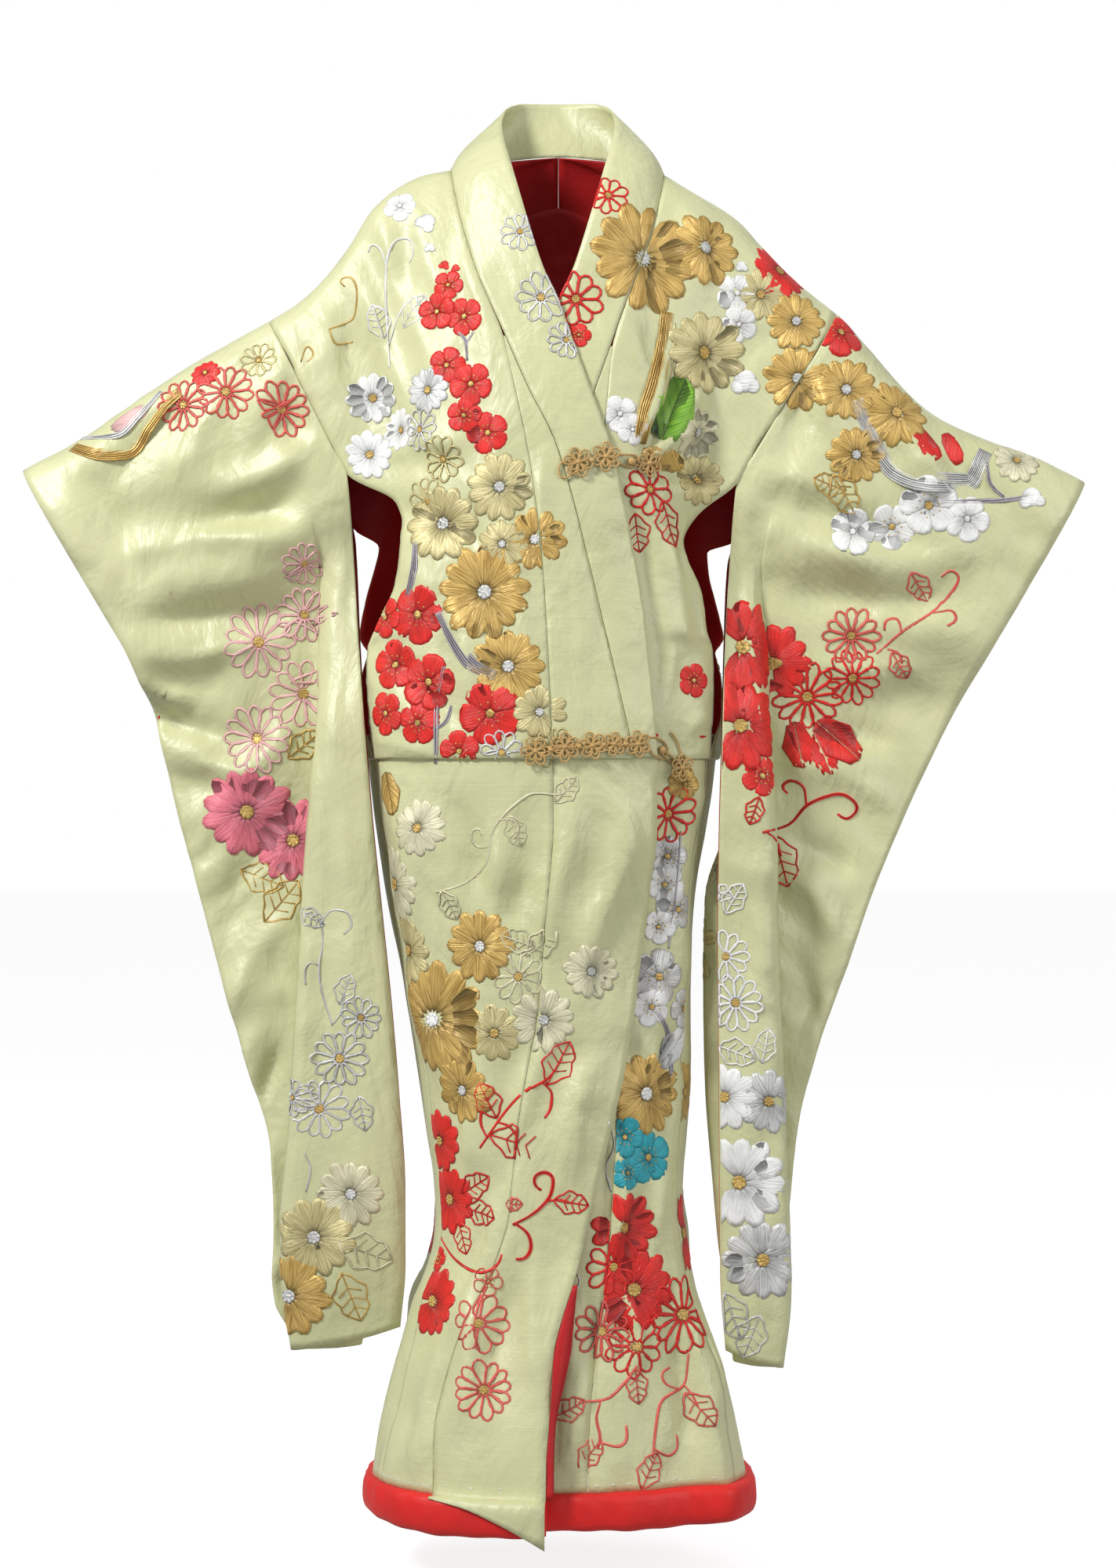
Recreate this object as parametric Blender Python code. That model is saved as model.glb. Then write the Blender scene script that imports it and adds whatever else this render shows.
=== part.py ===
"""Kimono robe with long hanging sleeves, worn open at the neck on a general figure.

All sizes are in millimetres in the frame of the robe and become metres when a mesh is made. The origin is the
middle of the shoulder line, where the wearer's shoulders carry the cloth. +Z is up, +Y is towards the back and
-X is the wearer's right, which laps over the left. Right and left below are always the wearer's.

The robe is built as it is sewn. Each body panel is one straight width that runs from the front hem over the
shoulder to the back hem. The overlaps, the collar and the sleeves are sewn to the panels, the waist has a
sewn-in tuck of three layers, and a padded red roll ends the hem.
"""

import math

import bpy
import numpy as np

MM = 0.001

WALL = 1.4  # silk, interlining and lining together
COLLAR_WALL = 2.4  # the collar is a band folded double
SEAM_GAP = 0.3  # between two pieces at a seam
HALF_GAP = SEAM_GAP / 2
COLLAR_GAP = 0.4  # the collar's share of its seam

PANEL_COLUMNS = 8
OVERLAP_COLUMNS = 4
COLLAR_COLUMNS = 4
TIP_WIDTH = 1.8  # of the overlap where it starts

ROUNDNESS = 2.0 / 2.2  # exponent that squares a body section up a little
WEB = 50.0  # half the depth of the cloth between the chest and the arm
SHOULDER_ROUND = 36.0  # radius of the cloth where it turns over the shoulder
SIDE_SEAM = 68.0  # degrees round from the front, a little ahead of the widest point

TUCK_HEIGHT = -648.0
TUCK_DEPTH = 26.0
TUCK_LAYER = 2.3  # from the middle of one layer of the tuck to the next

ROLL_HEIGHT = 40.0
ROLL_THICK = 24.0

SILK = ("silk", (0.60, 0.64, 0.40), 0.42)
LINING = ("lining", (0.70, 0.01, 0.01), 0.6)
CORD = ("closure_cord", (0.72, 0.47, 0.18), 0.7)

# The section of the figure under the robe: height, right side, left side, front depth, back depth.
TRUNK = [
    (0, -150, 150, 66, 84),
    (-100, -172, 168, 100, 98),
    (-200, -182, 172, 122, 108),
    (-300, -182, 160, 134, 112),
    (-410, -189, 150, 132, 112),
    (-460, -205, 165, 130, 112),
    (-530, -218, 180, 128, 112),
    (-590, -215, 177, 126, 113),
    (-666, -206, 170, 124, 118),
    (-727, -199, 161, 122, 122),
    (-804, -187, 148, 118, 124),
    (-890, -169, 144, 114, 120),
    (-976, -156, 145, 110, 114),
    (-1062, -143, 140, 108, 110),
    (-1131, -134, 135, 108, 108),
    (-1182, -137, 142, 110, 110),
    (-1225, -154, 150, 114, 116),
    (-1277, -170, 164, 122, 124),
    (-1337, -187, 186, 134, 136),
    (-1397, -199, 199, 144, 148),
    (-1440, -204, 206, 149, 153),
    (-1500, -204, 206, 149, 153),
]

# The top of the shoulder and arm, from the neck out: distance from the middle, height on the right and on the left.
RIDGE_RIGHT = [
    (0, 40), (50, 34), (90, 14), (118, -2), (148, -9), (174, -21), (195, -36), (215, -64), (234, -94), (251, -116),
    (281, -146), (316, -168), (354, -189), (387, -211), (423, -229), (458, -254), (492, -279), (518, -296),
    (543, -308), (569, -320), (584, -331),
]
RIDGE_LEFT = [
    (0, 40), (50, 34), (88, 14), (111, -4), (136, -20), (170, -40), (200, -61), (218, -82), (235, -100), (252, -118),
    (278, -140), (304, -160), (332, -190), (353, -214), (366, -235), (381, -254), (403, -266), (420, -278),
    (437, -291), (464, -296), (481, -303), (504, -311), (521, -317), (541, -325), (558, -335), (573, -344),
]

# Lines on the front, each a list of (height, x).
RIGHT_SEAM = [  # collar seam, and from OVERLAP_TIP down the seam of the right overlap
    (0, -118), (-30, -113), (-75, -103), (-135, -84), (-200, -58), (-255, -46), (-335, -30), (-427, -18),
    (-534, -11), (-622, -7), (-707, -5), (-824, -14), (-927, -23), (-1001, -37), (-1062, -44), (-1138, -50),
    (-1191, -67), (-1246, -92), (-1300, -115), (-1345, -128), (-1411, -133), (-1500, -134),
]
RIGHT_COLLAR_SEAM = [(-200, -58), (-262, -29), (-310, -5), (-352, 9), (-456, 36), (-540, 56), (-660, 84)]
RIGHT_COLLAR_EDGE = [(-200, 14), (-262, 36), (-325, 58), (-390, 72), (-455, 85), (-540, 96), (-660, 106)]
RIGHT_FRONT_EDGE = [
    (-640, 106), (-707, 104), (-760, 101), (-824, 94), (-890, 84), (-950, 77), (-1001, 66), (-1062, 52),
    (-1131, 34), (-1182, 22), (-1225, 8), (-1277, -5), (-1337, -9), (-1397, -13), (-1430, -13), (-1500, -17),
]
LEFT_SEAM = [
    (0, 116), (-30, 112), (-75, 102), (-145, 78), (-211, 57), (-262, 52), (-338, 46), (-427, 44), (-534, 52),
    (-650, 60), (-804, 62), (-976, 66), (-1100, 62), (-1200, 55), (-1300, 42), (-1400, 37), (-1500, 36),
]
LEFT_COLLAR_SEAM = [(-211, 57), (-262, 37), (-338, 8), (-427, -22), (-534, -52), (-660, -84)]
LEFT_COLLAR_EDGE = [(-211, -15), (-262, -33), (-338, -58), (-427, -82), (-534, -104), (-660, -124)]
LEFT_FRONT_EDGE = [
    (-640, -118), (-707, -104), (-804, -90), (-976, -78), (-1131, -70), (-1225, -80), (-1337, -98), (-1500, -108),
]
OVERLAP_TIP = {"right": -200.0, "left": -211.0}

# How far the left front lies under the right one: height and distance.
UNDERLAP = [(-100, 4), (-200, 7), (-640, 8), (-900, 7), (-1131, 8), (-1277, 16), (-1397, 31), (-1500, 34)]

# Rows of a body panel above the waist, from the front waist over the shoulder to the back waist: which half, the
# heights at the inner and the outer end, x at the outer end.
UPPER_RIGHT = [
    ("front", -500, -515, -200),
    ("front", -460, -492, -190),
    ("front", -415, -462, -176),
    ("front", -365, -432, -168),
    ("front", -310, -402, -166),
    ("front", -255, -373, -174),
    ("front", -200, -341, -228),
    ("front", -165, -311, -244),
    ("front", -130, -279, -260),
    ("front", -95, -245, -277),
    ("front", -62, -213, -293),
    ("front", -30, -188, -306),
    ("front", -8, -173, -314),
    ("ridge", 0, -168, -316),
    ("neck", 6, -173, -314),
    ("neck", 16, -188, -306),
    ("neck", 20, -213, -293),
    ("back", -30, -247, -279),
    ("back", -70, -290, -263),
    ("back", -112, -340, -246),
    ("back", -155, -391, -228),
    ("back", -200, -412, -200),
    ("back", -250, -440, -206),
    ("back", -305, -468, -214),
    ("back", -365, -492, -219),
    ("back", -430, -512, -221),
]
UPPER_LEFT = [
    ("front", -500, -515, 162),
    ("front", -460, -487, 158),
    ("front", -415, -462, 153),
    ("front", -365, -435, 142),
    ("front", -310, -412, 136),
    ("front", -262, -385, 150),
    ("front", -211, -351, 192),
    ("front", -178, -322, 209),
    ("front", -145, -291, 228),
    ("front", -108, -252, 252),
    ("front", -72, -212, 277),
    ("front", -36, -182, 293),
    ("front", -12, -165, 302),
    ("ridge", -2, -160, 304),
    ("neck", 6, -165, 302),
    ("neck", 16, -182, 293),
    ("neck", 20, -212, 277),
    ("back", -30, -250, 256),
    ("back", -70, -298, 234),
    ("back", -112, -350, 214),
    ("back", -155, -405, 196),
    ("back", -200, -418, 166),
    ("back", -250, -442, 168),
    ("back", -305, -468, 174),
    ("back", -365, -492, 180),
    ("back", -430, -512, 184),
]
NECK_CUT = [0.80, 0.42, 0.0]  # share of the half neck width left at each row behind the ridge

# Heights of the rows below the chest. The back edge of a panel reaches the side seam by way of OPEN_SIDE.
WAIST_ROWS = [-530, -565, -600, -628]
SKIRT_ROWS = [
    -680, -727, -775, -825, -875, -925, -975, -1020, -1062, -1100, -1135, -1170, -1205, -1240, -1275, -1312,
    -1350, -1388, -1425,
]
OPEN_SIDE = [(-530, 106), (-565, 94), (-600, 80), (-628, 71), (-640, SIDE_SEAM)]

# Folds of the skirt front: x and height of the top end, of the bottom end, rise, width on the right and the left.
SKIRT_FOLDS = [
    (-62, -827, -104, -1110, 9, 12, 60),
    (-18, -1000, -118, -1310, 8, 10, 70),
    (112, -680, -10, -900, 6, 34, 34),
    (40, -1150, -60, -1400, 7, 26, 30),
    (-90, -1180, -165, -1420, 8, 24, 26),
]

# A sleeve hangs in a pleat. Its sections, by cloth length down from the arm: x and height at the edge near the body,
# x of the pleat's crest, the angle the cloth turns through there, the hidden length of the pleat, x and height at
# the outer edge, and the distance between the two layers.
SLEEVE_RIGHT = [
    (225, -228, -341, -236, 0, 4, -468, -534, 78),
    (310, -222, -428, -232, 30, 4, -443, -600, 44),
    (400, -216, -516, -232, 80, 6, -422, -690, 26),
    (500, -208, -616, -244, 140, 20, -396, -786, 18),
    (600, -200, -716, -256, 166, 44, -370, -886, 15),
    (700, -190, -816, -264, 172, 64, -341, -986, 13),
    (800, -180, -916, -272, 174, 76, -315, -1080, 12),
    (900, -172, -1016, -280, 175, 84, -312, -1158, 10),
    (1000, -166, -1116, -291, 176, 90, -314, -1216, 8),
    (1070, -166, -1196, -292, 176, 80, -311, -1244, 6),
    (1125, -172, -1266, -286, 176, 66, -300, -1266, 1.75),
]
SLEEVE_LEFT = [
    (225, 192, -351, 198, 0, 4, 474, -522, 78),
    (310, 186, -436, 196, 26, 4, 430, -604, 44),
    (400, 180, -526, 200, 78, 6, 384, -700, 26),
    (500, 176, -626, 212, 136, 18, 344, -796, 18),
    (600, 173, -726, 218, 160, 50, 313, -886, 15),
    (700, 172, -826, 222, 172, 50, 283, -970, 13),
    (800, 173, -926, 228, 174, 54, 262, -1056, 12),
    (900, 174, -1026, 234, 175, 54, 253, -1140, 10),
    (1000, 175, -1126, 240, 176, 54, 244, -1206, 8),
    (1080, 176, -1214, 244, 176, 50, 250, -1252, 6),
    (1145, 182, -1292, 240, 176, 44, 244, -1280, 1.75),
]
SLEEVE_STEPS = [4, 4, 2, 4, 4]  # columns of the strip, the crest, the hidden part, the turn and the outer part
PLEAT_CLEAR = 3.5  # radius left at the inside of the pleat
ARM_ROUND = 46.0
CUFF_TOP = {"right": (-586, -331), "left": (576, -347)}
SEWN = 1.75  # middle to middle of two layers that are sewn together
BOTTOM_ROUND = 26.0  # how far the bottom of a sleeve bows down between its corners

# The free edge of the collar round the neck, by station from the overlap's tip to the middle of the back: distance
# from the middle towards the wearer's own side, depth, height and how far the band bulges.
COLLAR_EDGE_NECK = [
    (-2, -104, -165, 1),
    (16, -100, -125, 2),
    (28, -92, -88, 4),
    (40, -80, -46, 6),
    (51, -62, -6, 8),
    (59, -40, 24, 9),
    (62, -14, 46, 9),
    (58, 18, 68, 8),
    (36, 48, 82, 6),
    (0, 60, 84, 4),
]

# The red facing beside the lower edge of the right front: height and how far it shows.
FACING_WIDTH = [(-1195, 1.5), (-1225, 9), (-1277, 17), (-1320, 11), (-1350, 7), (-1385, 8), (-1425, 8)]

# Frogs, each a chain of rosettes: x, height and radius of every rosette or knot.
UPPER_LOOP = [(5, -341, 6), (21, -338, 15), (50, -332, 15)]
UPPER_KNOT = [(74, -337, 6), (94, -337, 14)]
LOWER_LOOP = [(-24, -640, 15), (7, -636, 15), (36, -634, 14), (58, -633, 12), (83, -633, 14), (99, -636, 5)]
LOWER_KNOT = [(118, -640, 5.5), (137, -646, 14)]
CLOSURE_WALL = 3.0


def spline(table, at, column=1):
    """A smooth value from a table whose first column is the key, with no overshoot between its rows."""
    rows = sorted(table)
    keys = np.array([row[0] for row in rows], float)
    values = np.array([row[column] for row in rows], float)
    steps = np.diff(values) / np.diff(keys)
    slopes = np.concatenate([steps[:1], steps, steps[-1:]])
    before, after = slopes[:-1], slopes[1:]
    same_way = before * after > 0
    slope = np.where(same_way, 2 * before * after / np.where(same_way, before + after, 1), 0)
    at = np.clip(np.asarray(at, float), keys[0], keys[-1])
    i = np.clip(np.searchsorted(keys, at) - 1, 0, len(keys) - 2)
    width = keys[i + 1] - keys[i]
    t = (at - keys[i]) / width
    return (
        values[i] * (1 + 2 * t) * (1 - t) ** 2
        + values[i + 1] * t * t * (3 - 2 * t)
        + width * (slope[i] * t * (1 - t) ** 2 - slope[i + 1] * t * t * (1 - t))
    )


def ease(t):
    """0 below 0, 1 above 1, and smooth between."""
    t = np.clip(t, 0, 1)
    return t * t * (3 - 2 * t)


def lerp(a, b, t):
    return a + (b - a) * t


def trunk(z):
    """Middle, half width, front depth and back depth of the body's section at a height."""
    right, left, front, back = (spline(TRUNK, z, column) for column in (1, 2, 3, 4))
    return (right + left) / 2, (left - right) / 2, front, back


def section_point(angle, z, out=0.0):
    """The point of a body section at an angle: 0 at the front, 90 at the wearer's right, 180 at the back."""
    middle, half, front, back = trunk(z)
    s, c = math.sin(math.radians(angle)), math.cos(math.radians(angle))
    depth = front if c > 0 else back
    x = middle - (half + out) * math.copysign(abs(s) ** ROUNDNESS, s)
    y = -(depth + out) * math.copysign(abs(c) ** ROUNDNESS, c)
    return np.array([x, y, z])


def angle_at(x, z, out=0.0):
    """The angle where the front of a body section has this x."""
    middle, half, _, _ = trunk(z)
    share = np.clip((middle - x) / (half + out), -1, 1)
    return math.degrees(math.asin(math.copysign(abs(share) ** (1 / ROUNDNESS), share)))


def ridge_height(x):
    return float(spline(RIDGE_RIGHT if x < 0 else RIDGE_LEFT, abs(x)))


def surface_y(x, z, half_name, inset=0.0):
    """Depth of the cloth over the chest or the back, which hangs from the shoulder line and spans to the arm."""
    middle, half, front, back = trunk(z)
    depth = (front if half_name == "front" else back) - inset
    share = min(abs(x - middle) / (half - inset), 1.0)
    body = depth * (1 - share ** (2 / ROUNDNESS)) ** (ROUNDNESS / 2)
    body = (body**4 + (WEB - inset) ** 4) ** 0.25
    drop = max(ridge_height(x) - z, 0.0)
    shoulder = math.sqrt(2 * SHOULDER_ROUND * drop)
    size = 1e-9 + (body * shoulder) / (body**5 + shoulder**5 + 1e-9) ** 0.2
    return -size if half_name == "front" else size


def underlap(z):
    return float(spline(UNDERLAP, z))


def fold_rise(x, z):
    """How far the skirt's folds lift the front at a point: steep on the right of a crest and slow on its left."""
    rise = 0.0
    for x_top, z_top, x_bottom, z_bottom, height, steep, slow in SKIRT_FOLDS:
        t = (z_top - z) / (z_top - z_bottom)
        if not 0 < t < 1:
            continue
        across = x - lerp(x_top, x_bottom, t)
        fall = steep if across < 0 else slow
        ends = ease(t / 0.25) * ease((1 - t) / 0.2)
        rise += height * ends * (1 - ease(abs(across) / fall))
    return rise


def front_point(x, z, layer):
    """A point on the right front, which laps over, or on the left one, which lies under it."""
    if layer == "right":
        return np.array([x, surface_y(x, z, "front") - fold_rise(x, z), z])
    under = underlap(z) * ease((150 - x) / 60)
    return np.array([x, surface_y(x, z, "front", under), z])


def skirt_point(angle, z, layer, out=0.0):
    """A point of the skirt. The left front sinks under the right one between the side seam and the right edge."""
    if layer == "left":
        sunk = underlap(z) * ease((angle + SIDE_SEAM - 6) / 16)
        return section_point(angle, z, out - sunk)
    point = section_point(angle, z, out)
    if abs(angle) < SIDE_SEAM + 10:
        lift = fold_rise(point[0], z)
        point = section_point(angle, z, out + lift)
    return point


def tuck_path():
    """Height and outward distance of the rows through the three layers of the waist tuck, top to bottom."""
    low, high = TUCK_HEIGHT, TUCK_HEIGHT + TUCK_DEPTH
    outer, middle = 2 * TUCK_LAYER, TUCK_LAYER
    return [
        (high + 6, outer), (lerp(low, high, 0.5), outer), (low + 1.5, outer),
        (low, lerp(outer, middle, 0.5)), (low + 1.5, middle), (high - 1.5, middle),
        (high, middle / 2), (high - 1.5, 0.0), (lerp(low, high, 0.4), 0.0), (low - 4, 0.0),
    ]


def lower_rows():
    """Height and outward distance of every row of a panel below the chest, top to bottom."""
    above = [(z, 2 * TUCK_LAYER * float(ease((WAIST_ROWS[0] - z) / 80))) for z in WAIST_ROWS[:-1]]
    return above + tuck_path() + [(z, 0.0) for z in SKIRT_ROWS]


def seam_x(side, z):
    return float(spline(RIGHT_SEAM if side == "right" else LEFT_SEAM, z))


def panel_rows(side):
    """The points of a body panel, a row at a time from the front hem over the shoulder to the back hem."""
    sign = -1 if side == "right" else 1
    rows = []
    for z, out in reversed(lower_rows()):
        inner = angle_at(seam_x(side, z), z, out)
        outer = -sign * SIDE_SEAM
        angles = np.linspace(inner, outer, PANEL_COLUMNS)
        rows.append([skirt_point(angle, z, side, out) for angle in angles])
    neck = list(NECK_CUT)
    neck_half = seam_x(side, 0.0)
    for half, z_in, z_out, x_out in UPPER_RIGHT if side == "right" else UPPER_LEFT:
        if half == "front":
            x_in = seam_x(side, z_in)
        elif half == "ridge":
            x_in = neck_half
        else:
            x_in = neck_half * neck.pop(0) if half == "neck" else 0.0
        row = []
        for t in np.linspace(0, 1, PANEL_COLUMNS):
            x = lerp(x_in, x_out, t)
            if half == "ridge":
                row.append(np.array([x, 0.0, ridge_height(x)]))
                continue
            z = lerp(z_in, z_out, t)
            sag = ridge_height(x) - lerp(ridge_height(x_in), ridge_height(x_out), t)
            near = 1 - ease(abs(z_in) / 240)
            z = min(z + sag * near, ridge_height(x) - 0.5)
            if half == "front":
                row.append(front_point(x, z, side))
            else:
                row.append(np.array([x, surface_y(x, z, "back"), z]))
        rows.append(row)
    for z, out in lower_rows():
        side_angle = spline(OPEN_SIDE, z) if z > TUCK_HEIGHT else SIDE_SEAM
        if side == "right":
            angles = np.linspace(180, side_angle, PANEL_COLUMNS)
        else:
            angles = np.linspace(-180, -side_angle, PANEL_COLUMNS)
        rows.append([section_point(angle, z, out) for angle in angles])
    return np.array(rows)


def overlap_heights(side):
    """Heights of an overlap's rows from its tip to the waist, those of the panel beside it."""
    table = UPPER_RIGHT if side == "right" else UPPER_LEFT
    heights = [row[1] for row in table if row[0] == "front" and row[1] <= OVERLAP_TIP[side]]
    return sorted(heights, reverse=True)


def overlap_rows(side):
    """The points of an overlap, from its tip at the collar down to the hem."""
    collar = RIGHT_COLLAR_SEAM if side == "right" else LEFT_COLLAR_SEAM
    edge = RIGHT_FRONT_EDGE if side == "right" else LEFT_FRONT_EDGE
    way = 1 if side == "right" else -1
    rows = []
    for z in overlap_heights(side):
        start = seam_x(side, z)
        end = float(spline(collar, z))
        end = max(end, start + TIP_WIDTH) if way > 0 else min(end, start - TIP_WIDTH)
        rows.append([front_point(x, z, side) for x in np.linspace(start, end, OVERLAP_COLUMNS)])
    for i, (z, out) in enumerate(lower_rows()):
        end_x = float(spline(collar if i < len(WAIST_ROWS) + 4 else edge, z))
        angles = np.linspace(angle_at(seam_x(side, z), z, out), angle_at(end_x, z, out), OVERLAP_COLUMNS)
        rows.append([skirt_point(angle, z, side, out) for angle in angles])
    return np.array(rows)


def collar_rows(side, panel, overlap):
    """The points of half the collar from the waist tuck to the middle of the back neck, seam edge first."""
    edge_line = RIGHT_COLLAR_EDGE if side == "right" else LEFT_COLLAR_EDGE
    sign = -1 if side == "right" else 1
    heights = overlap_heights(side)
    below = lower_rows()[: len(WAIST_ROWS) + 2]
    rows = []
    for i in range(len(below) - 1, -1, -1):
        z, out = below[i]
        seam = overlap[len(heights) + i, -1]
        angles = np.linspace(angle_at(seam[0], z, out), angle_at(float(spline(edge_line, z)), z, out), COLLAR_COLUMNS)
        rows.append([seam] + [skirt_point(angle, z, side, out) for angle in angles[1:]])
    for i in range(len(heights) - 1, -1, -1):
        seam = overlap[i, -1]
        xs = np.linspace(seam[0], float(spline(edge_line, heights[i])), COLLAR_COLUMNS)
        rows.append([seam] + [front_point(x, heights[i], side) for x in xs[1:]])
    first = neck_row(side)
    for i, (x, y, z, bulge) in enumerate(COLLAR_EDGE_NECK):
        seam = panel[first + i + 1, 0]
        sunk = underlap(z) * float(ease((-90 - z) / 60)) if side == "left" else 0.0
        edge = np.array([x * sign, y + sunk, z])
        row = []
        for t in np.linspace(0, 1, COLLAR_COLUMNS):
            point = lerp(seam, edge, t)
            away = np.array([point[0], point[1] + 10, 0])
            row.append(point + away / np.linalg.norm(away) * bulge * 4 * t * (1 - t))
        rows.append(row)
    return np.array(rows)


def neck_row(side):
    """The row of a panel where its overlap ends and the collar joins it."""
    table = UPPER_RIGHT if side == "right" else UPPER_LEFT
    return len(lower_rows()) + sum(row[0] == "front" and row[1] < OVERLAP_TIP[side] for row in table)


def armhole_rows(side):
    """First and last row of a panel that are sewn to the sleeve."""
    table = UPPER_RIGHT if side == "right" else UPPER_LEFT
    low = SLEEVE_RIGHT[0][2] if side == "right" else SLEEVE_LEFT[0][2]
    first = next(i for i, row in enumerate(table) if row[2] >= low)
    last = next(i for i, row in enumerate(table) if row[0] == "back" and row[2] < low - 30)
    return len(lower_rows()) + first, len(lower_rows()) + last


def sleeve_path(section, sign, layer):
    """The points of one hanging row of a sleeve, from the edge near the body to the outer edge."""
    _, x_in, z_in, x_crest, turn, hidden, x_out, z_out, gap = section
    radius = gap / 2 + PLEAT_CLEAR
    turn = math.radians(turn)
    depth = 2 * radius * (1 - math.cos(turn)) + hidden * math.sin(turn)
    here = np.array([sign * x_in, -depth])
    crest = sign * x_crest
    steps = []
    for count, kind in zip(SLEEVE_STEPS, ("strip", "crest", "hidden", "turn", "outer")):
        steps += [(kind, i, count) for i in range(1, count + 1)]
    plan = [(here.copy(), 0.0)]
    heading = 0.0
    start = here.copy()
    for kind, i, count in steps:
        if kind == "strip":
            here = np.array([lerp(sign * x_in, crest, i / count), -depth])
        elif kind == "crest":
            if i == 1:
                start = here.copy()
            heading = turn * i / count
            here = start + radius * np.array([math.sin(heading), 1 - math.cos(heading)])
        elif kind == "hidden":
            here = here + hidden / count * np.array([math.cos(turn), math.sin(turn)])
        elif kind == "turn":
            if i == 1:
                start = here + radius * np.array([math.sin(turn), -math.cos(turn)])
            heading = turn * (1 - i / count)
            here = start + radius * np.array([-math.sin(heading), math.cos(heading)])
        else:
            if i == 1:
                start = here.copy()
                heading = 0.0
            here = lerp(start, np.array([sign * x_out, 0.0]), i / count)
        plan.append((here.copy(), heading))
    points = np.array([p for p, _ in plan])
    lengths = np.concatenate([[0], np.cumsum(np.linalg.norm(np.diff(points, axis=0), axis=1))])
    share = lengths / lengths[-1]
    outer_start = len(plan) - SLEEVE_STEPS[-1] - 1
    row = []
    for n, (point, heading) in enumerate(plan):
        t = (n - outer_start) / SLEEVE_STEPS[-1]
        half = lerp(gap, SEWN, float(ease((t - 0.25) / 0.75))) / 2
        side = half if layer == "front" else -half
        u = point[0] + side * math.sin(heading)
        y = point[1] - side * math.cos(heading)
        sag = BOTTOM_ROUND * (4 * share[n] * (1 - share[n])) * float(gap == SEWN)
        row.append(np.array([sign * u, y, lerp(z_in, z_out, share[n]) - sag]))
    return row


def sleeve_rows(side, panel):
    """The points of a sleeve from the bottom of its front layer over the arm to the bottom of its back layer."""
    table = SLEEVE_RIGHT if side == "right" else SLEEVE_LEFT
    sign = -1 if side == "right" else 1
    first, last = armhole_rows(side)
    seam = panel[first : last + 1, -1]
    middle = int(np.argmax(seam[:, 2]))
    top = seam[middle]
    cuff_x, cuff_z = CUFF_TOP[side]
    cuff_top = np.array([cuff_x, 0.0, cuff_z])
    cuff_low = np.array([table[0][6], 0.0, table[0][7]])
    lowest = np.linalg.norm((seam[0] - top)[[0, 2]])
    rows = [sleeve_path(section, sign, "front") for section in reversed(table[1:])]
    guide = sleeve_path(table[1], sign, "front")
    stations = np.array([point[0] for point in guide])
    shares = (stations - stations[0]) / (stations[-1] - stations[0])
    for k, start in enumerate(seam):
        t = min(np.linalg.norm((start - top)[[0, 2]]) / lowest, 1.0)
        end = lerp(cuff_top, cuff_low, t)
        drop = cuff_z - end[2]
        arm = math.sqrt(max(ARM_ROUND**2 - max(ARM_ROUND - drop, 0) ** 2, 0))
        arm = lerp(arm, table[0][8] / 2, float(ease((drop - 50) / 150)))
        end[1] = arm if k > middle else -arm
        row = []
        for share in shares:
            point = lerp(start, end, share)
            line = lerp(top[2], cuff_z, share)
            x = lerp(top[0], cuff_x, share)
            point[2] += (ridge_height(x) - line) * (1 - float(ease(t * 1.3)))
            row.append(point)
        rows.append(row)
    rows += [sleeve_path(section, sign, "back") for section in table[1:]]
    return np.array(rows)


def unit(vectors):
    length = np.linalg.norm(vectors, axis=-1, keepdims=True)
    return vectors / np.where(length > 1e-9, length, 1)


def normals_of(grid, before=None, after=None):
    """Unit normals of a grid. before and after are the columns of the pieces it is sewn to, nan where there are none."""
    rows, columns = grid.shape[:2]
    blank = np.full((rows, 1, 3), np.nan)
    left = blank if before is None else before[:, None]
    right = blank if after is None else after[:, None]
    wide = np.concatenate([left, grid, right], axis=1)
    across = wide[1:, 1:] - wide[:-1, :-1]
    along = wide[1:, :-1] - wide[:-1, 1:]
    faces = np.nan_to_num(np.cross(along, across))
    found = np.zeros_like(wide)
    for i in (0, 1):
        for j in (0, 1):
            found[i : rows - 1 + i, j : columns + 1 + j] += faces
    return unit(found[:, 1:-1])


def draw_in(grid, normals, first_column=HALF_GAP, last_column=HALF_GAP):
    """Moves the side edges of a grid inwards, square to each edge, which leaves the gap of a seam."""
    moved = grid.copy()
    for edge, inner, distance in ((0, 1, first_column), (-1, -2, last_column)):
        line = grid[:, edge]
        ends = np.concatenate([line[:1], line, line[-1:]])
        inward = unit(np.cross(normals[:, edge], unit(ends[2:] - ends[:-2])))
        inside = grid[:, inner] - line
        beside = np.concatenate([inside[1:], inside[-1:]]) + np.concatenate([inside[:1], inside[:-1]]) + inside
        inward = inward * np.sign(np.sum(inward * beside, axis=1, keepdims=True))
        reach = np.maximum(np.linalg.norm(inside, axis=1, keepdims=True), 1e-6)
        moved[:, edge] = line + inward * np.minimum(distance, 0.4 * reach)
    return moved


def material_of(finish):
    name, colour, roughness = finish
    material = bpy.data.materials.get(name)
    if material is None:
        material = bpy.data.materials.new(name)
        material.use_nodes = True
        shader = material.node_tree.nodes["Principled BSDF"]
        shader.inputs["Base Color"].default_value = (*colour, 1)
        shader.inputs["Roughness"].default_value = roughness
        shader.inputs["Metallic"].default_value = 0.0
        material.diffuse_color = (*colour, 1)
    return material


def add_object(name, points, faces, finish):
    mesh = bpy.data.meshes.new(name)
    mesh.from_pydata((np.asarray(points) * MM).tolist(), [], faces)
    mesh.materials.append(material_of(finish))
    mesh.shade_smooth()
    mesh.set_sharp_from_angle(angle=math.radians(50))
    piece = bpy.data.objects.new(name, mesh)
    bpy.context.scene.collection.objects.link(piece)
    return piece


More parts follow.
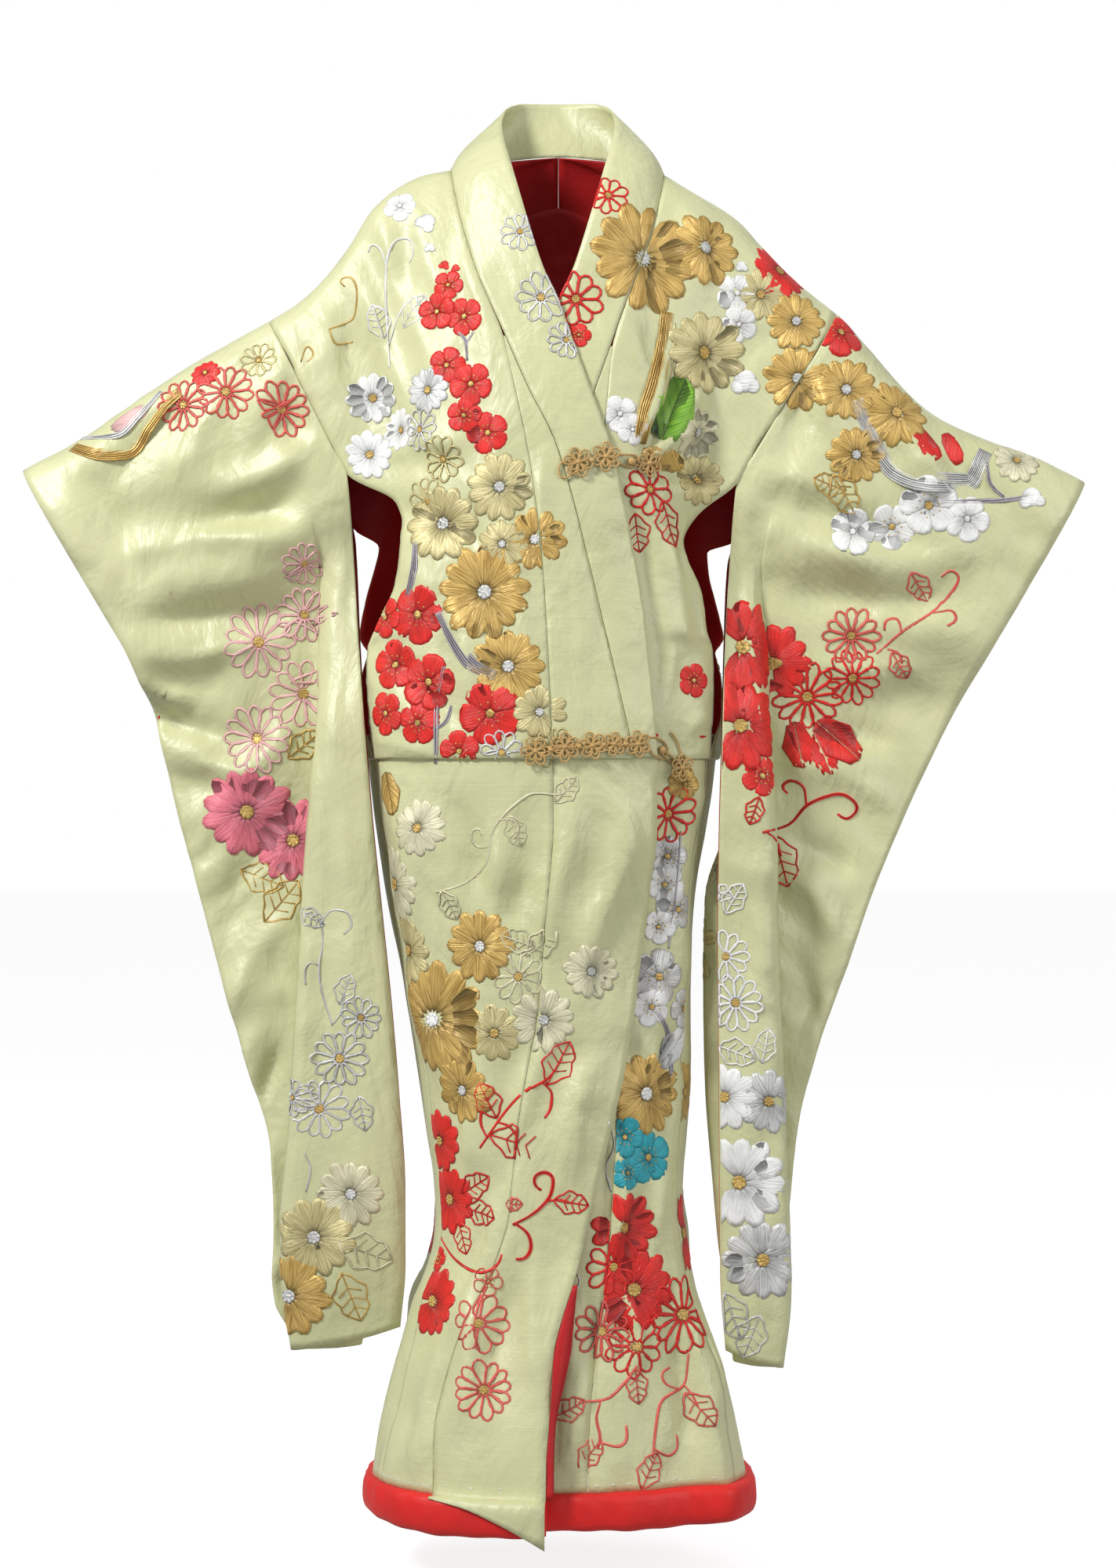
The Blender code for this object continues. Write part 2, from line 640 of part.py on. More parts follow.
def add_wall(name, grid, normals, finish, wall=WALL):
    """Makes a closed wall round a grid of middle points whose normals face outwards."""
    rows, columns = grid.shape[:2]
    points = np.concatenate([
        (grid + normals * wall / 2).reshape(-1, 3),
        (grid - normals * wall / 2).reshape(-1, 3),
    ])
    count = rows * columns

    def index(i, j, layer):
        return layer * count + i * columns + j

    faces = []
    for i in range(rows - 1):
        for j in range(columns - 1):
            a, b, c, d = (i, j), (i + 1, j), (i + 1, j + 1), (i, j + 1)
            if np.linalg.norm(grid[a] - grid[c]) > np.linalg.norm(grid[b] - grid[d]):
                a, b, c, d = b, c, d, a
            for triangle in ((a, b, c), (a, c, d)):
                faces.append([index(*corner, 0) for corner in triangle])
                faces.append([index(*corner, 1) for corner in reversed(triangle)])
    border = [(i, 0) for i in range(rows)] + [(rows - 1, j) for j in range(1, columns)]
    border += [(i, columns - 1) for i in range(rows - 2, -1, -1)] + [(0, j) for j in range(columns - 2, 0, -1)]
    for a, b in zip(border, border[1:] + border[:1]):
        faces.append([index(*b, 0), index(*a, 0), index(*a, 1), index(*b, 1)])
    middle = (rows // 2, columns // 2)
    turned = np.cross(grid[middle[0] + 1, middle[1]] - grid[middle], grid[middle[0], middle[1] + 1] - grid[middle])
    if np.dot(turned, normals[middle]) < 0:
        faces = [face[::-1] for face in faces]
    return add_object(name, points, faces, finish)


def mated(edge, other_edge, other_inner):
    """The neighbouring column across a seam, nan where the two edges lie apart."""
    near = np.linalg.norm(edge - other_edge, axis=1, keepdims=True) < 2.5
    return np.where(near, other_inner, np.nan)


def add_body(side, panels, overlaps, collars, sleeves):
    """Adds a body panel and its overlap, with normals shared across every seam."""
    other = "left" if side == "right" else "right"
    panel, overlap, collar, sleeve = panels[side], overlaps[side], collars[side], sleeves[side]
    low = len(lower_rows())
    heights = len(overlap_heights(side))
    first = neck_row(side)
    before = np.full((len(panel), 3), np.nan)
    before[: low + heights] = overlap[::-1][: low + heights, 1]
    neck = collar[-len(COLLAR_EDGE_NECK) :]
    before[first + 1 : first + len(neck)] = neck[:-1, 1]
    back = slice(first + len(neck) + 1, len(panel))
    before[back] = panels[other][back, 1]
    after = mated(panel[:, -1], panel[::-1, -1], panel[::-1, -2])
    start, end = armhole_rows(side)
    rows = len(SLEEVE_RIGHT if side == "right" else SLEEVE_LEFT) - 1
    after[start : end + 1] = sleeve[rows : rows + end + 1 - start, 1]
    flip = 1 if side == "right" else -1
    body_normals = flip * normals_of(panel, before, after)
    add_wall(f"body_{side}", draw_in(panel, body_normals), body_normals, SILK)

    before = panel[: len(overlap)][::-1, 1]
    after = np.full((len(overlap), 3), np.nan)
    seam_rows = collar[: len(collar) - len(neck)][::-1]
    after[: len(seam_rows)] = seam_rows[:, 1]
    normals = -flip * normals_of(overlap, before, after)
    add_wall(f"overlap_{side}", draw_in(overlap, normals), normals, SILK)

    before = np.full((len(sleeve), 3), np.nan)
    before[rows : rows + end + 1 - start] = panel[start : end + 1, -2]
    normals = flip * normals_of(sleeve, before)
    sewn = np.zeros((len(sleeve), 1))
    sewn[rows : rows + end + 1 - start] = HALF_GAP
    add_wall(f"sleeve_{side}", draw_in(sleeve, normals, sewn, 0.0), normals, SILK)
    return body_normals


def add_collar(panels, overlaps, collars):
    """Adds the collar, one band from the right waist round the neck to the left waist."""
    halves, befores = [], []
    for side in ("right", "left"):
        panel, overlap, collar = panels[side], overlaps[side], collars[side]
        neck = len(COLLAR_EDGE_NECK)
        first = neck_row(side)
        lower = overlap[: len(collar) - neck][::-1, -2]
        before = np.concatenate([lower, panel[first + 1 : first + neck, 1], panel[first + neck + 1, :1]])
        halves.append(collar)
        befores.append(before)
    grid = np.concatenate([halves[0], halves[1][::-1][1:]])
    before = np.concatenate([befores[0], befores[1][::-1][1:]])
    normals = -normals_of(grid, before)
    add_wall("collar", draw_in(grid, normals, COLLAR_GAP, 0.0), normals, SILK, COLLAR_WALL)


def add_roll(panels, overlaps):
    """Adds the padded roll along the hem, a closed tube through the lower edge of every panel."""
    path = list(overlaps["right"][-1][::-1])
    path += list(panels["right"][0][1:])
    path += list(panels["right"][-1][::-1][1:])
    path += list(panels["left"][-1][1:])
    path += list(panels["left"][0][::-1][1:])
    path += list(overlaps["left"][-1][1:])
    path = np.array(path)
    way = np.diff(path, axis=0)
    way = unit(np.concatenate([way[:1], way])) + unit(np.concatenate([way, way[-1:]]))
    out = unit(np.cross([0, 0, 1.0], way))
    if np.sum(out * (path - path.mean(axis=0))) < 0:
        out = -out
    top = SKIRT_ROWS[-1] - SEAM_GAP
    section = [
        (0.62, 0.0), (1.0, 0.2), (1.0, 0.62), (0.72, 0.92), (0.25, 1.0),
        (-0.3, 1.0), (-0.76, 0.9), (-1.0, 0.6), (-1.0, 0.2), (-0.62, 0.0),
    ]
    points, faces = [], []
    for i, (spot, side) in enumerate(zip(path, out)):
        end = min(i, len(path) - 1 - i)
        full = (0.5, 0.88)[end] if end < 2 else 1.0
        for across, down in section:
            height = top - down * ROLL_HEIGHT * (0.86 + 0.14 * full)
            points.append([*(spot[:2] + side[:2] * across * ROLL_THICK / 2 * full), height])
    n = len(section)
    for i in range(len(path) - 1):
        for j in range(n):
            k = (j + 1) % n
            faces.append([i * n + j, i * n + k, (i + 1) * n + k, (i + 1) * n + j])
    faces.append(list(range(n))[::-1])
    faces.append([(len(path) - 1) * n + j for j in range(n)])
    a, b, c = (np.array(points[m]) for m in faces[0][:3])
    if np.dot(np.cross(b - a, c - a), out[0]) < 0:
        faces = [face[::-1] for face in faces]
    add_object("hem_roll", points, faces, LINING)


def add_facing():
    """Adds the red facing that shows beside the lower edge of the right front."""
    rows = []
    for z in [z for z in SKIRT_ROWS if z < FACING_WIDTH[0][0]]:
        start = float(spline(RIGHT_FRONT_EDGE, z)) + SEAM_GAP
        width = float(spline(FACING_WIDTH, z))
        row = []
        for t in (0.0, 0.5, 1.0):
            point = skirt_point(angle_at(start + width * t, z), z, "right")
            row.append(point + np.array([0, 1.5 * t, 0]))
        rows.append(row)
    grid = np.array(rows)
    add_wall("front_facing", grid, -normals_of(grid), LINING, 1.2)


def add_linings(panels, normals, sleeves):
    """Adds the red linings that show: inside the back, and inside the back layer of each sleeve."""
    first = neck_row("right") + len(COLLAR_EDGE_NECK) + 1
    last = len(lower_rows()) + len(UPPER_RIGHT) + 1

    def both(parts):
        return np.concatenate([parts["right"][first:last, :0:-1], parts["left"][first:last]], axis=1)

    outward = both(normals)
    add_wall("body_lining", both(panels) - outward * (WALL / 2 + SEAM_GAP + 0.5), outward, LINING, 1.0)
    for side in ("right", "left"):
        sleeve = sleeves[side]
        count = len(SLEEVE_RIGHT) - 1
        grid = sleeve[-count:-1, : SLEEVE_STEPS[0]]
        flip = 1 if side == "right" else -1
        normals = flip * normals_of(sleeve)[-count:-1, : SLEEVE_STEPS[0]]
        add_wall(f"sleeve_lining_{side}", grid - normals * (WALL / 2 + SEAM_GAP + 0.4), normals, LINING, 0.8)


def add_closure(name, chain, place):
    """Adds one half of a frog: a chain of cord rosettes that follows the cloth."""
    chain = np.array(chain, float)
    spots = []
    for x, z, radius in chain:
        for share in (-0.96, -0.72, -0.36, 0, 0.36, 0.72, 0.96):
            spots.append((x + share * radius, radius * math.sqrt(1 - share * share), z))
    spots.sort()
    kept = [spots[0]]
    for spot in spots[1:]:
        if spot[0] - kept[-1][0] > 1.2:
            kept.append(spot)
    grid = []
    for x, half, _ in kept:
        z = float(np.interp(x, chain[:, 0], chain[:, 1]))
        grid.append([place(x, z + side * max(half, 2.0)) for side in (-1, 0, 1)])
    grid = np.array(grid)
    normals = normals_of(grid)
    normals = normals * -np.sign(normals[:, :, 1:2])
    add_wall(name, grid, normals, CORD, CLOSURE_WALL)


def main():
    for thing in list(bpy.data.objects):
        bpy.data.objects.remove(thing)
    panels = {side: panel_rows(side) for side in ("right", "left")}
    overlaps = {side: overlap_rows(side) for side in ("right", "left")}
    collars = {side: collar_rows(side, panels[side], overlaps[side]) for side in ("right", "left")}
    sleeves = {side: sleeve_rows(side, panels[side]) for side in ("right", "left")}
    normals = {side: add_body(side, panels, overlaps, collars, sleeves) for side in ("right", "left")}
    add_collar(panels, overlaps, collars)
    add_roll(panels, overlaps)
    add_facing()
    add_linings(panels, normals, sleeves)
    lift = COLLAR_WALL / 2 + SEAM_GAP + CLOSURE_WALL / 2
    waist = 2 * TUCK_LAYER + lift

    def on_right(x, z):
        return front_point(x, z, "right") - np.array([0, lift, 0])

    def on_left(x, z):
        return front_point(x, z, "left") - np.array([0, lift, 0])

    def on_waist_right(x, z):
        return skirt_point(angle_at(x, z, waist), z, "right", waist)

    def on_waist_left(x, z):
        return skirt_point(angle_at(x, z, waist), z, "left", waist)

    add_closure("frog_upper_loop", UPPER_LOOP, on_right)
    add_closure("frog_upper_knot", UPPER_KNOT, on_left)
    add_closure("frog_lower_loop", LOWER_LOOP, on_waist_right)
    add_closure("frog_lower_knot", LOWER_KNOT, on_waist_left)


main()
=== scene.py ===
import math

import bpy
import numpy as np
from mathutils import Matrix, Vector
from mathutils.bvhtree import BVHTree


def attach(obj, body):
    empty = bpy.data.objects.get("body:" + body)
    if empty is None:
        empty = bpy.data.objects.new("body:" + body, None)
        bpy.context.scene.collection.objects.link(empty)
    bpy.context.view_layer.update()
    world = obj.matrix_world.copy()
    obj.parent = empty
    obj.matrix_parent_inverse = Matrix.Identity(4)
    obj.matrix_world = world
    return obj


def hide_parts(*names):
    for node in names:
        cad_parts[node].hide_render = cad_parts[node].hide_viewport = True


bl_info = {
    "name": "Kimono robe with long hanging sleeves",
    "version": (1, 0, 0),
    "blender": (4, 5, 0),
    "location": "3D View > Sidebar > Kimono",
    "description": "Dresses a kimono robe in creased silk, raised embroidery, frogs and a padded hem",
    "category": "Object",
}

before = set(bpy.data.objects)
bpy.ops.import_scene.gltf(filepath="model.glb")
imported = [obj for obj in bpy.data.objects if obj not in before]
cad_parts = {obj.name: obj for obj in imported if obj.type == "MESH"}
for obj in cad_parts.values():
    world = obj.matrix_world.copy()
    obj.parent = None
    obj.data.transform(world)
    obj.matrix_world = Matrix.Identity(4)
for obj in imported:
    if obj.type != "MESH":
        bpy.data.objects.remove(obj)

MM = 0.001

# Sizes below are in millimetres in the frame of the robe: +Z up, +Y towards the back, -X the wearer's right.
# Places on the cloth are given in the picture's own pixels, and meet it along the camera's line of sight.
IMAGE_WIDTH = 1423
IMAGE_HEIGHT = 2000
PIXEL = 0.86  # millimetres a pixel at the middle of the robe
CAMERA_DISTANCE = 3200.0
CAMERA_X = -0.4
CAMERA_Z = -675.0

WALL = 1.4  # silk, interlining and lining together
COLLAR_WALL = 2.4  # the collar is a band folded double
SEAM_GAP = 0.3  # between two pieces at a seam
HALF_GAP = SEAM_GAP / 2
COLLAR_GAP = 0.4  # the collar's share of its seam

PANEL_COLUMNS = 8
OVERLAP_COLUMNS = 4
COLLAR_COLUMNS = 4
TIP_WIDTH = 1.8  # of the overlap where it starts
TIP_DROP = 47.0  # how far the right front's corner hangs below the rest of its edge

ROUNDNESS = 2.0 / 2.2  # exponent that squares a body section up a little
WEB = 50.0  # half the depth of the cloth between the chest and the arm
SHOULDER_ROUND = 36.0  # radius of the cloth where it turns over the shoulder
SIDE_SEAM = 68.0  # degrees round from the front, a little ahead of the widest point

TUCK_HEIGHT = -648.0
TUCK_DEPTH = 26.0
TUCK_LAYER = 2.3  # from the middle of one layer of the tuck to the next

ROLL_HEIGHT = 40.0
ROLL_THICK = 24.0


# The section of the figure under the robe: height, right side, left side, front depth, back depth.
TRUNK = [
    (0, -150, 150, 66, 84), (-100, -172, 168, 100, 98), (-200, -182, 172, 122, 108),
    (-300, -182, 160, 134, 112), (-410, -189, 150, 132, 112), (-460, -205, 165, 130, 112),
    (-530, -218, 180, 128, 112), (-590, -215, 177, 126, 113), (-666, -206, 170, 124, 118),
    (-727, -199, 161, 122, 122), (-804, -187, 148, 118, 124), (-890, -169, 144, 114, 120),
    (-976, -156, 145, 110, 114), (-1062, -143, 140, 108, 110), (-1131, -134, 135, 108, 108),
    (-1182, -137, 142, 110, 110), (-1225, -154, 150, 114, 116), (-1277, -170, 164, 122, 124),
    (-1337, -187, 186, 134, 136), (-1397, -199, 199, 144, 148), (-1440, -204, 206, 149, 153),
    (-1500, -204, 206, 149, 153),
]

# The top of the shoulder and arm, from the neck out: distance from the middle and height.
RIDGE = {
    "right": [
        (0, 40), (50, 34), (90, 14), (118, -2), (148, -9), (174, -21), (195, -36), (215, -64), (234, -94),
        (251, -116), (281, -146), (316, -168), (354, -189), (387, -211), (423, -229), (458, -254),
        (492, -279), (518, -296), (543, -308), (569, -320), (584, -331),
    ],
    "left": [
        (0, 40), (50, 34), (88, 14), (111, -4), (136, -20), (170, -40), (200, -61), (218, -82),
        (235, -100), (252, -118), (278, -140), (304, -160), (332, -190), (353, -214), (366, -235),
        (381, -254), (403, -266), (420, -278), (437, -291), (464, -296), (481, -303), (504, -311),
        (521, -317), (541, -325), (558, -335), (573, -344),
    ],
}

# Lines on the front, each a list of (height, x). SEAM is the collar's, below OVERLAP_TIP the overlap's.
SEAM = {
    "right": [
        (0, -118), (-30, -113), (-75, -103), (-135, -84), (-200, -58), (-255, -46), (-335, -30),
        (-427, -18), (-534, -11), (-622, -7), (-707, -5), (-824, -14), (-927, -23), (-1001, -37),
        (-1062, -44), (-1138, -50), (-1191, -67), (-1246, -92), (-1300, -115), (-1345, -128),
        (-1411, -133), (-1500, -134),
    ],
    "left": [
        (0, 116), (-30, 112), (-75, 102), (-145, 78), (-211, 57), (-262, 52), (-338, 46), (-427, 44),
        (-534, 52), (-650, 60), (-804, 62), (-976, 66), (-1100, 62), (-1200, 55), (-1300, 42),
        (-1400, 37), (-1500, 36),
    ],
}
COLLAR_SEAM = {
    "right": [
        (-200, -58), (-262, -29), (-310, -5), (-352, 9), (-456, 36), (-540, 56), (-660, 84),
    ],
    "left": [
        (-211, 57), (-262, 37), (-338, 8), (-427, -22), (-534, -52), (-660, -84),
    ],
}
COLLAR_EDGE = {
    "right": [
        (-200, 14), (-262, 36), (-325, 58), (-390, 72), (-455, 85), (-540, 96), (-660, 106),
    ],
    "left": [
        (-211, -15), (-262, -33), (-338, -58), (-427, -82), (-534, -104), (-660, -124),
    ],
}
FRONT_EDGE = {
    "right": [
        (-640, 106), (-707, 104), (-760, 101), (-824, 94), (-890, 84), (-950, 77), (-1001, 66),
        (-1062, 52), (-1131, 34), (-1182, 22), (-1225, 8), (-1277, -5), (-1337, -9), (-1397, -13),
        (-1430, -13), (-1500, -17),
    ],
    "left": [
        (-640, -118), (-707, -104), (-804, -90), (-976, -78), (-1131, -70), (-1225, -80), (-1337, -98),
        (-1500, -108),
    ],
}
OVERLAP_TIP = {"right": -200.0, "left": -211.0}

# How far the left front lies under the right one: height and distance.
UNDERLAP = [(-100, 4), (-200, 7), (-640, 8), (-900, 7), (-1131, 8), (-1277, 16), (-1397, 31), (-1500, 34)]

# Rows of a body panel above the waist, from the front over the shoulder to the back: which half, the
# heights at the inner and the outer end, x at the outer end.
UPPER = {
    "right": [
        ("front", -500, -515, -200), ("front", -460, -492, -190), ("front", -415, -462, -176),
        ("front", -365, -432, -168), ("front", -310, -402, -166), ("front", -255, -373, -174),
        ("front", -200, -341, -228), ("front", -165, -311, -244), ("front", -130, -279, -260),
        ("front", -95, -245, -277), ("front", -62, -213, -293), ("front", -30, -188, -306),
        ("front", -8, -173, -314), ("ridge", 0, -168, -316), ("neck", 6, -173, -314),
        ("neck", 16, -188, -306), ("neck", 20, -213, -293), ("back", -30, -247, -279),
        ("back", -70, -290, -263), ("back", -112, -340, -246), ("back", -155, -391, -228),
        ("back", -200, -412, -200), ("back", -250, -440, -206), ("back", -305, -468, -214),
        ("back", -365, -492, -219), ("back", -430, -512, -221),
    ],
    "left": [
        ("front", -500, -515, 162), ("front", -460, -487, 158), ("front", -415, -462, 153),
        ("front", -365, -435, 142), ("front", -310, -412, 136), ("front", -262, -385, 150),
        ("front", -211, -351, 192), ("front", -178, -322, 209), ("front", -145, -291, 228),
        ("front", -108, -252, 252), ("front", -72, -212, 277), ("front", -36, -182, 293),
        ("front", -12, -165, 302), ("ridge", -2, -160, 304), ("neck", 6, -165, 302),
        ("neck", 16, -182, 293), ("neck", 20, -212, 277), ("back", -30, -250, 256),
        ("back", -70, -298, 234), ("back", -112, -350, 214), ("back", -155, -405, 196),
        ("back", -200, -418, 166), ("back", -250, -442, 168), ("back", -305, -468, 174),
        ("back", -365, -492, 180), ("back", -430, -512, 184),
    ],
}
NECK_CUT = [0.80, 0.42, 0.0]  # share of the half neck width left at each row behind the ridge

# Heights of the rows below the chest. The back edge of a panel reaches the side seam by way of OPEN_SIDE.
WAIST_ROWS = [-530, -565, -600, -628]
SKIRT_ROWS = [
    -680, -727, -775, -825, -875, -925, -975, -1020, -1062, -1100, -1135, -1170, -1205, -1240, -1275, -1312,
    -1350, -1388, -1425,
]
OPEN_SIDE = [(-530, 106), (-565, 94), (-600, 80), (-628, 71), (-640, SIDE_SEAM)]

# Folds of the skirt front: x and height of the top and the bottom end, rise, width on the right and the left.
SKIRT_FOLDS = [
    (-62, -827, -104, -1110, 9, 12, 60), (-18, -1000, -118, -1310, 8, 10, 70),
    (112, -680, -10, -900, 6, 34, 34), (40, -1150, -60, -1400, 7, 26, 30),
    (-90, -1180, -165, -1420, 8, 24, 26),
]

# A sleeve hangs in a pleat. Its sections, by cloth length down from the arm: x and height at the edge near
# the body, x of the pleat's crest, the angle the cloth turns through there, the hidden length of the pleat,
# x and height at the outer edge, and the distance between the two layers.
SLEEVE = {
    "right": [
        (225, -228, -341, -236, 0, 4, -468, -534, 78), (310, -222, -428, -232, 30, 4, -443, -600, 44),
        (400, -216, -516, -232, 80, 6, -422, -690, 26), (500, -208, -616, -244, 140, 20, -396, -786, 18),
        (600, -200, -716, -256, 166, 44, -370, -886, 15),
        (700, -190, -816, -264, 172, 64, -341, -986, 13),
        (800, -180, -916, -272, 174, 76, -315, -1080, 12),
        (900, -172, -1016, -280, 175, 84, -312, -1158, 10),
        (1000, -166, -1116, -291, 176, 90, -314, -1216, 8),
        (1070, -166, -1196, -292, 176, 80, -311, -1244, 6),
        (1125, -172, -1266, -286, 176, 66, -300, -1266, 1.75),
    ],
    "left": [
        (225, 192, -351, 198, 0, 4, 474, -522, 78), (310, 186, -436, 196, 26, 4, 430, -604, 44),
        (400, 180, -526, 200, 78, 6, 384, -700, 26), (500, 176, -626, 212, 136, 18, 344, -796, 18),
        (600, 173, -726, 218, 160, 50, 313, -886, 15), (700, 172, -826, 222, 172, 50, 283, -970, 13),
        (800, 173, -926, 228, 174, 54, 262, -1056, 12), (900, 174, -1026, 234, 175, 54, 253, -1140, 10),
        (1000, 175, -1126, 240, 176, 54, 244, -1206, 8), (1080, 176, -1214, 244, 176, 50, 250, -1252, 6),
        (1145, 182, -1292, 240, 176, 44, 244, -1280, 1.75),
    ],
}
SLEEVE_STEPS = [4, 4, 2, 4, 4]  # columns of the strip, crest, hidden part, turn and outer part
PLEAT_CLEAR = 3.5  # radius left at the inside of the pleat
ARM_ROUND = 46.0
CUFF_TOP = {"right": (-586, -331), "left": (576, -347)}
SEWN = 1.75  # middle to middle of two layers that are sewn together
BOTTOM_ROUND = 26.0  # how far the bottom of a sleeve bows down between its corners

# The free edge of the collar round the neck, from the overlap's tip to the middle of the back: distance
# from the middle towards the wearer's own side, depth, height and how far the band bulges.
COLLAR_EDGE_NECK = [
    (-2, -104, -165, 1), (16, -100, -125, 2), (28, -92, -88, 4), (40, -80, -46, 6), (51, -62, -6, 8),
    (59, -40, 24, 9), (62, -14, 46, 9), (58, 18, 68, 8), (36, 48, 82, 6), (0, 60, 84, 4),
]

# The red facing beside the lower edge of the right front: height and how far it shows.
FACING_WIDTH = [(-1195, 1.5), (-1225, 9), (-1277, 17), (-1320, 11), (-1350, 7), (-1385, 8), (-1425, 8)]

def spline(table, at, column=1):
    """A smooth value from a table whose first column is the key, with no overshoot between its rows."""
    rows = sorted(table)
    keys = np.array([row[0] for row in rows], float)
    values = np.array([row[column] for row in rows], float)
    steps = np.diff(values) / np.diff(keys)
    slopes = np.concatenate([steps[:1], steps, steps[-1:]])
    before, after = slopes[:-1], slopes[1:]
    same_way = before * after > 0
    slope = np.where(same_way, 2 * before * after / np.where(same_way, before + after, 1), 0)
    at = np.clip(np.asarray(at, float), keys[0], keys[-1])
    i = np.clip(np.searchsorted(keys, at) - 1, 0, len(keys) - 2)
    width = keys[i + 1] - keys[i]
    t = (at - keys[i]) / width
    return (
        values[i] * (1 + 2 * t) * (1 - t) ** 2
        + values[i + 1] * t * t * (3 - 2 * t)
        + width * (slope[i] * t * (1 - t) ** 2 - slope[i + 1] * t * t * (1 - t))
    )


def ease(t):
    """0 below 0, 1 above 1, and smooth between."""
    t = np.clip(t, 0, 1)
    return t * t * (3 - 2 * t)


def lerp(a, b, t):
    return a + (b - a) * t


def trunk(z):
    """Middle, half width, front depth and back depth of the body's section at a height."""
    right, left, front, back = (spline(TRUNK, z, column) for column in (1, 2, 3, 4))
    return (right + left) / 2, (left - right) / 2, front, back


def section_point(angle, z, out=0.0):
    """The point of a body section at an angle: 0 at the front, 90 at the wearer's right, 180 at the back."""
    middle, half, front, back = trunk(z)
    s, c = math.sin(math.radians(angle)), math.cos(math.radians(angle))
    depth = front if c > 0 else back
    x = middle - (half + out) * math.copysign(abs(s) ** ROUNDNESS, s)
    y = -(depth + out) * math.copysign(abs(c) ** ROUNDNESS, c)
    return np.array([x, y, z])


def angle_at(x, z, out=0.0):
    """The angle where the front of a body section has this x."""
    middle, half, _, _ = trunk(z)
    share = np.clip((middle - x) / (half + out), -1, 1)
    return math.degrees(math.asin(math.copysign(abs(share) ** (1 / ROUNDNESS), share)))


def ridge_height(x):
    return float(spline(RIDGE["right" if x < 0 else "left"], abs(x)))


def surface_y(x, z, half_name, inset=0.0):
    """Depth of the cloth over the chest or back, which hangs from the shoulder line and spans to the arm."""
    middle, half, front, back = trunk(z)
    depth = (front if half_name == "front" else back) - inset
    share = min(abs(x - middle) / (half - inset), 1.0)
    body = depth * (1 - share ** (2 / ROUNDNESS)) ** (ROUNDNESS / 2)
    body = (body**4 + (WEB - inset) ** 4) ** 0.25
    drop = max(ridge_height(x) - z, 0.0)
    shoulder = math.sqrt(2 * SHOULDER_ROUND * drop)
    size = 1e-9 + (body * shoulder) / (body**5 + shoulder**5 + 1e-9) ** 0.2
    return -size if half_name == "front" else size


def underlap(z):
    return float(spline(UNDERLAP, z))


def fold_rise(x, z):
    """How far the skirt's folds lift the front: steep on the right of a crest and slow on its left."""
    rise = 0.0
    for x_top, z_top, x_bottom, z_bottom, height, steep, slow in SKIRT_FOLDS:
        t = (z_top - z) / (z_top - z_bottom)
        if not 0 < t < 1:
            continue
        across = x - lerp(x_top, x_bottom, t)
        fall = steep if across < 0 else slow
        ends = ease(t / 0.25) * ease((1 - t) / 0.2)
        rise += height * ends * (1 - ease(abs(across) / fall))
    return rise


def front_point(x, z, layer):
    """A point on the right front, which laps over, or on the left one, which lies under it."""
    if layer == "right":
        return np.array([x, surface_y(x, z, "front") - fold_rise(x, z), z])
    under = underlap(z) * ease((150 - x) / 60)
    return np.array([x, surface_y(x, z, "front", under), z])


def skirt_point(angle, z, layer, out=0.0):
    """A point of the skirt. The left front sinks under the right one."""
    if layer == "left":
        sunk = underlap(z) * ease((angle + SIDE_SEAM - 6) / 16)
        return section_point(angle, z, out - sunk)
    point = section_point(angle, z, out)
    if abs(angle) < SIDE_SEAM + 10:
        lift = fold_rise(point[0], z)
        point = section_point(angle, z, out + lift)
    return point


def tuck_path():
    """Height and outward distance of the rows through the three layers of the waist tuck, top to bottom."""
    low, high = TUCK_HEIGHT, TUCK_HEIGHT + TUCK_DEPTH
    outer, middle = 2 * TUCK_LAYER, TUCK_LAYER
    return [
        (high + 6, outer), (lerp(low, high, 0.5), outer), (low + 1.5, outer),
        (low, lerp(outer, middle, 0.5)), (low + 1.5, middle), (high - 1.5, middle),
        (high, middle / 2), (high - 1.5, 0.0), (lerp(low, high, 0.4), 0.0), (low - 4, 0.0),
    ]


def lower_rows():
    """Height and outward distance of every row of a panel below the chest, top to bottom."""
    above = [(z, 2 * TUCK_LAYER * float(ease((WAIST_ROWS[0] - z) / 80))) for z in WAIST_ROWS[:-1]]
    return above + tuck_path() + [(z, 0.0) for z in SKIRT_ROWS]


def seam_x(side, z):
    return float(spline(SEAM[side], z))


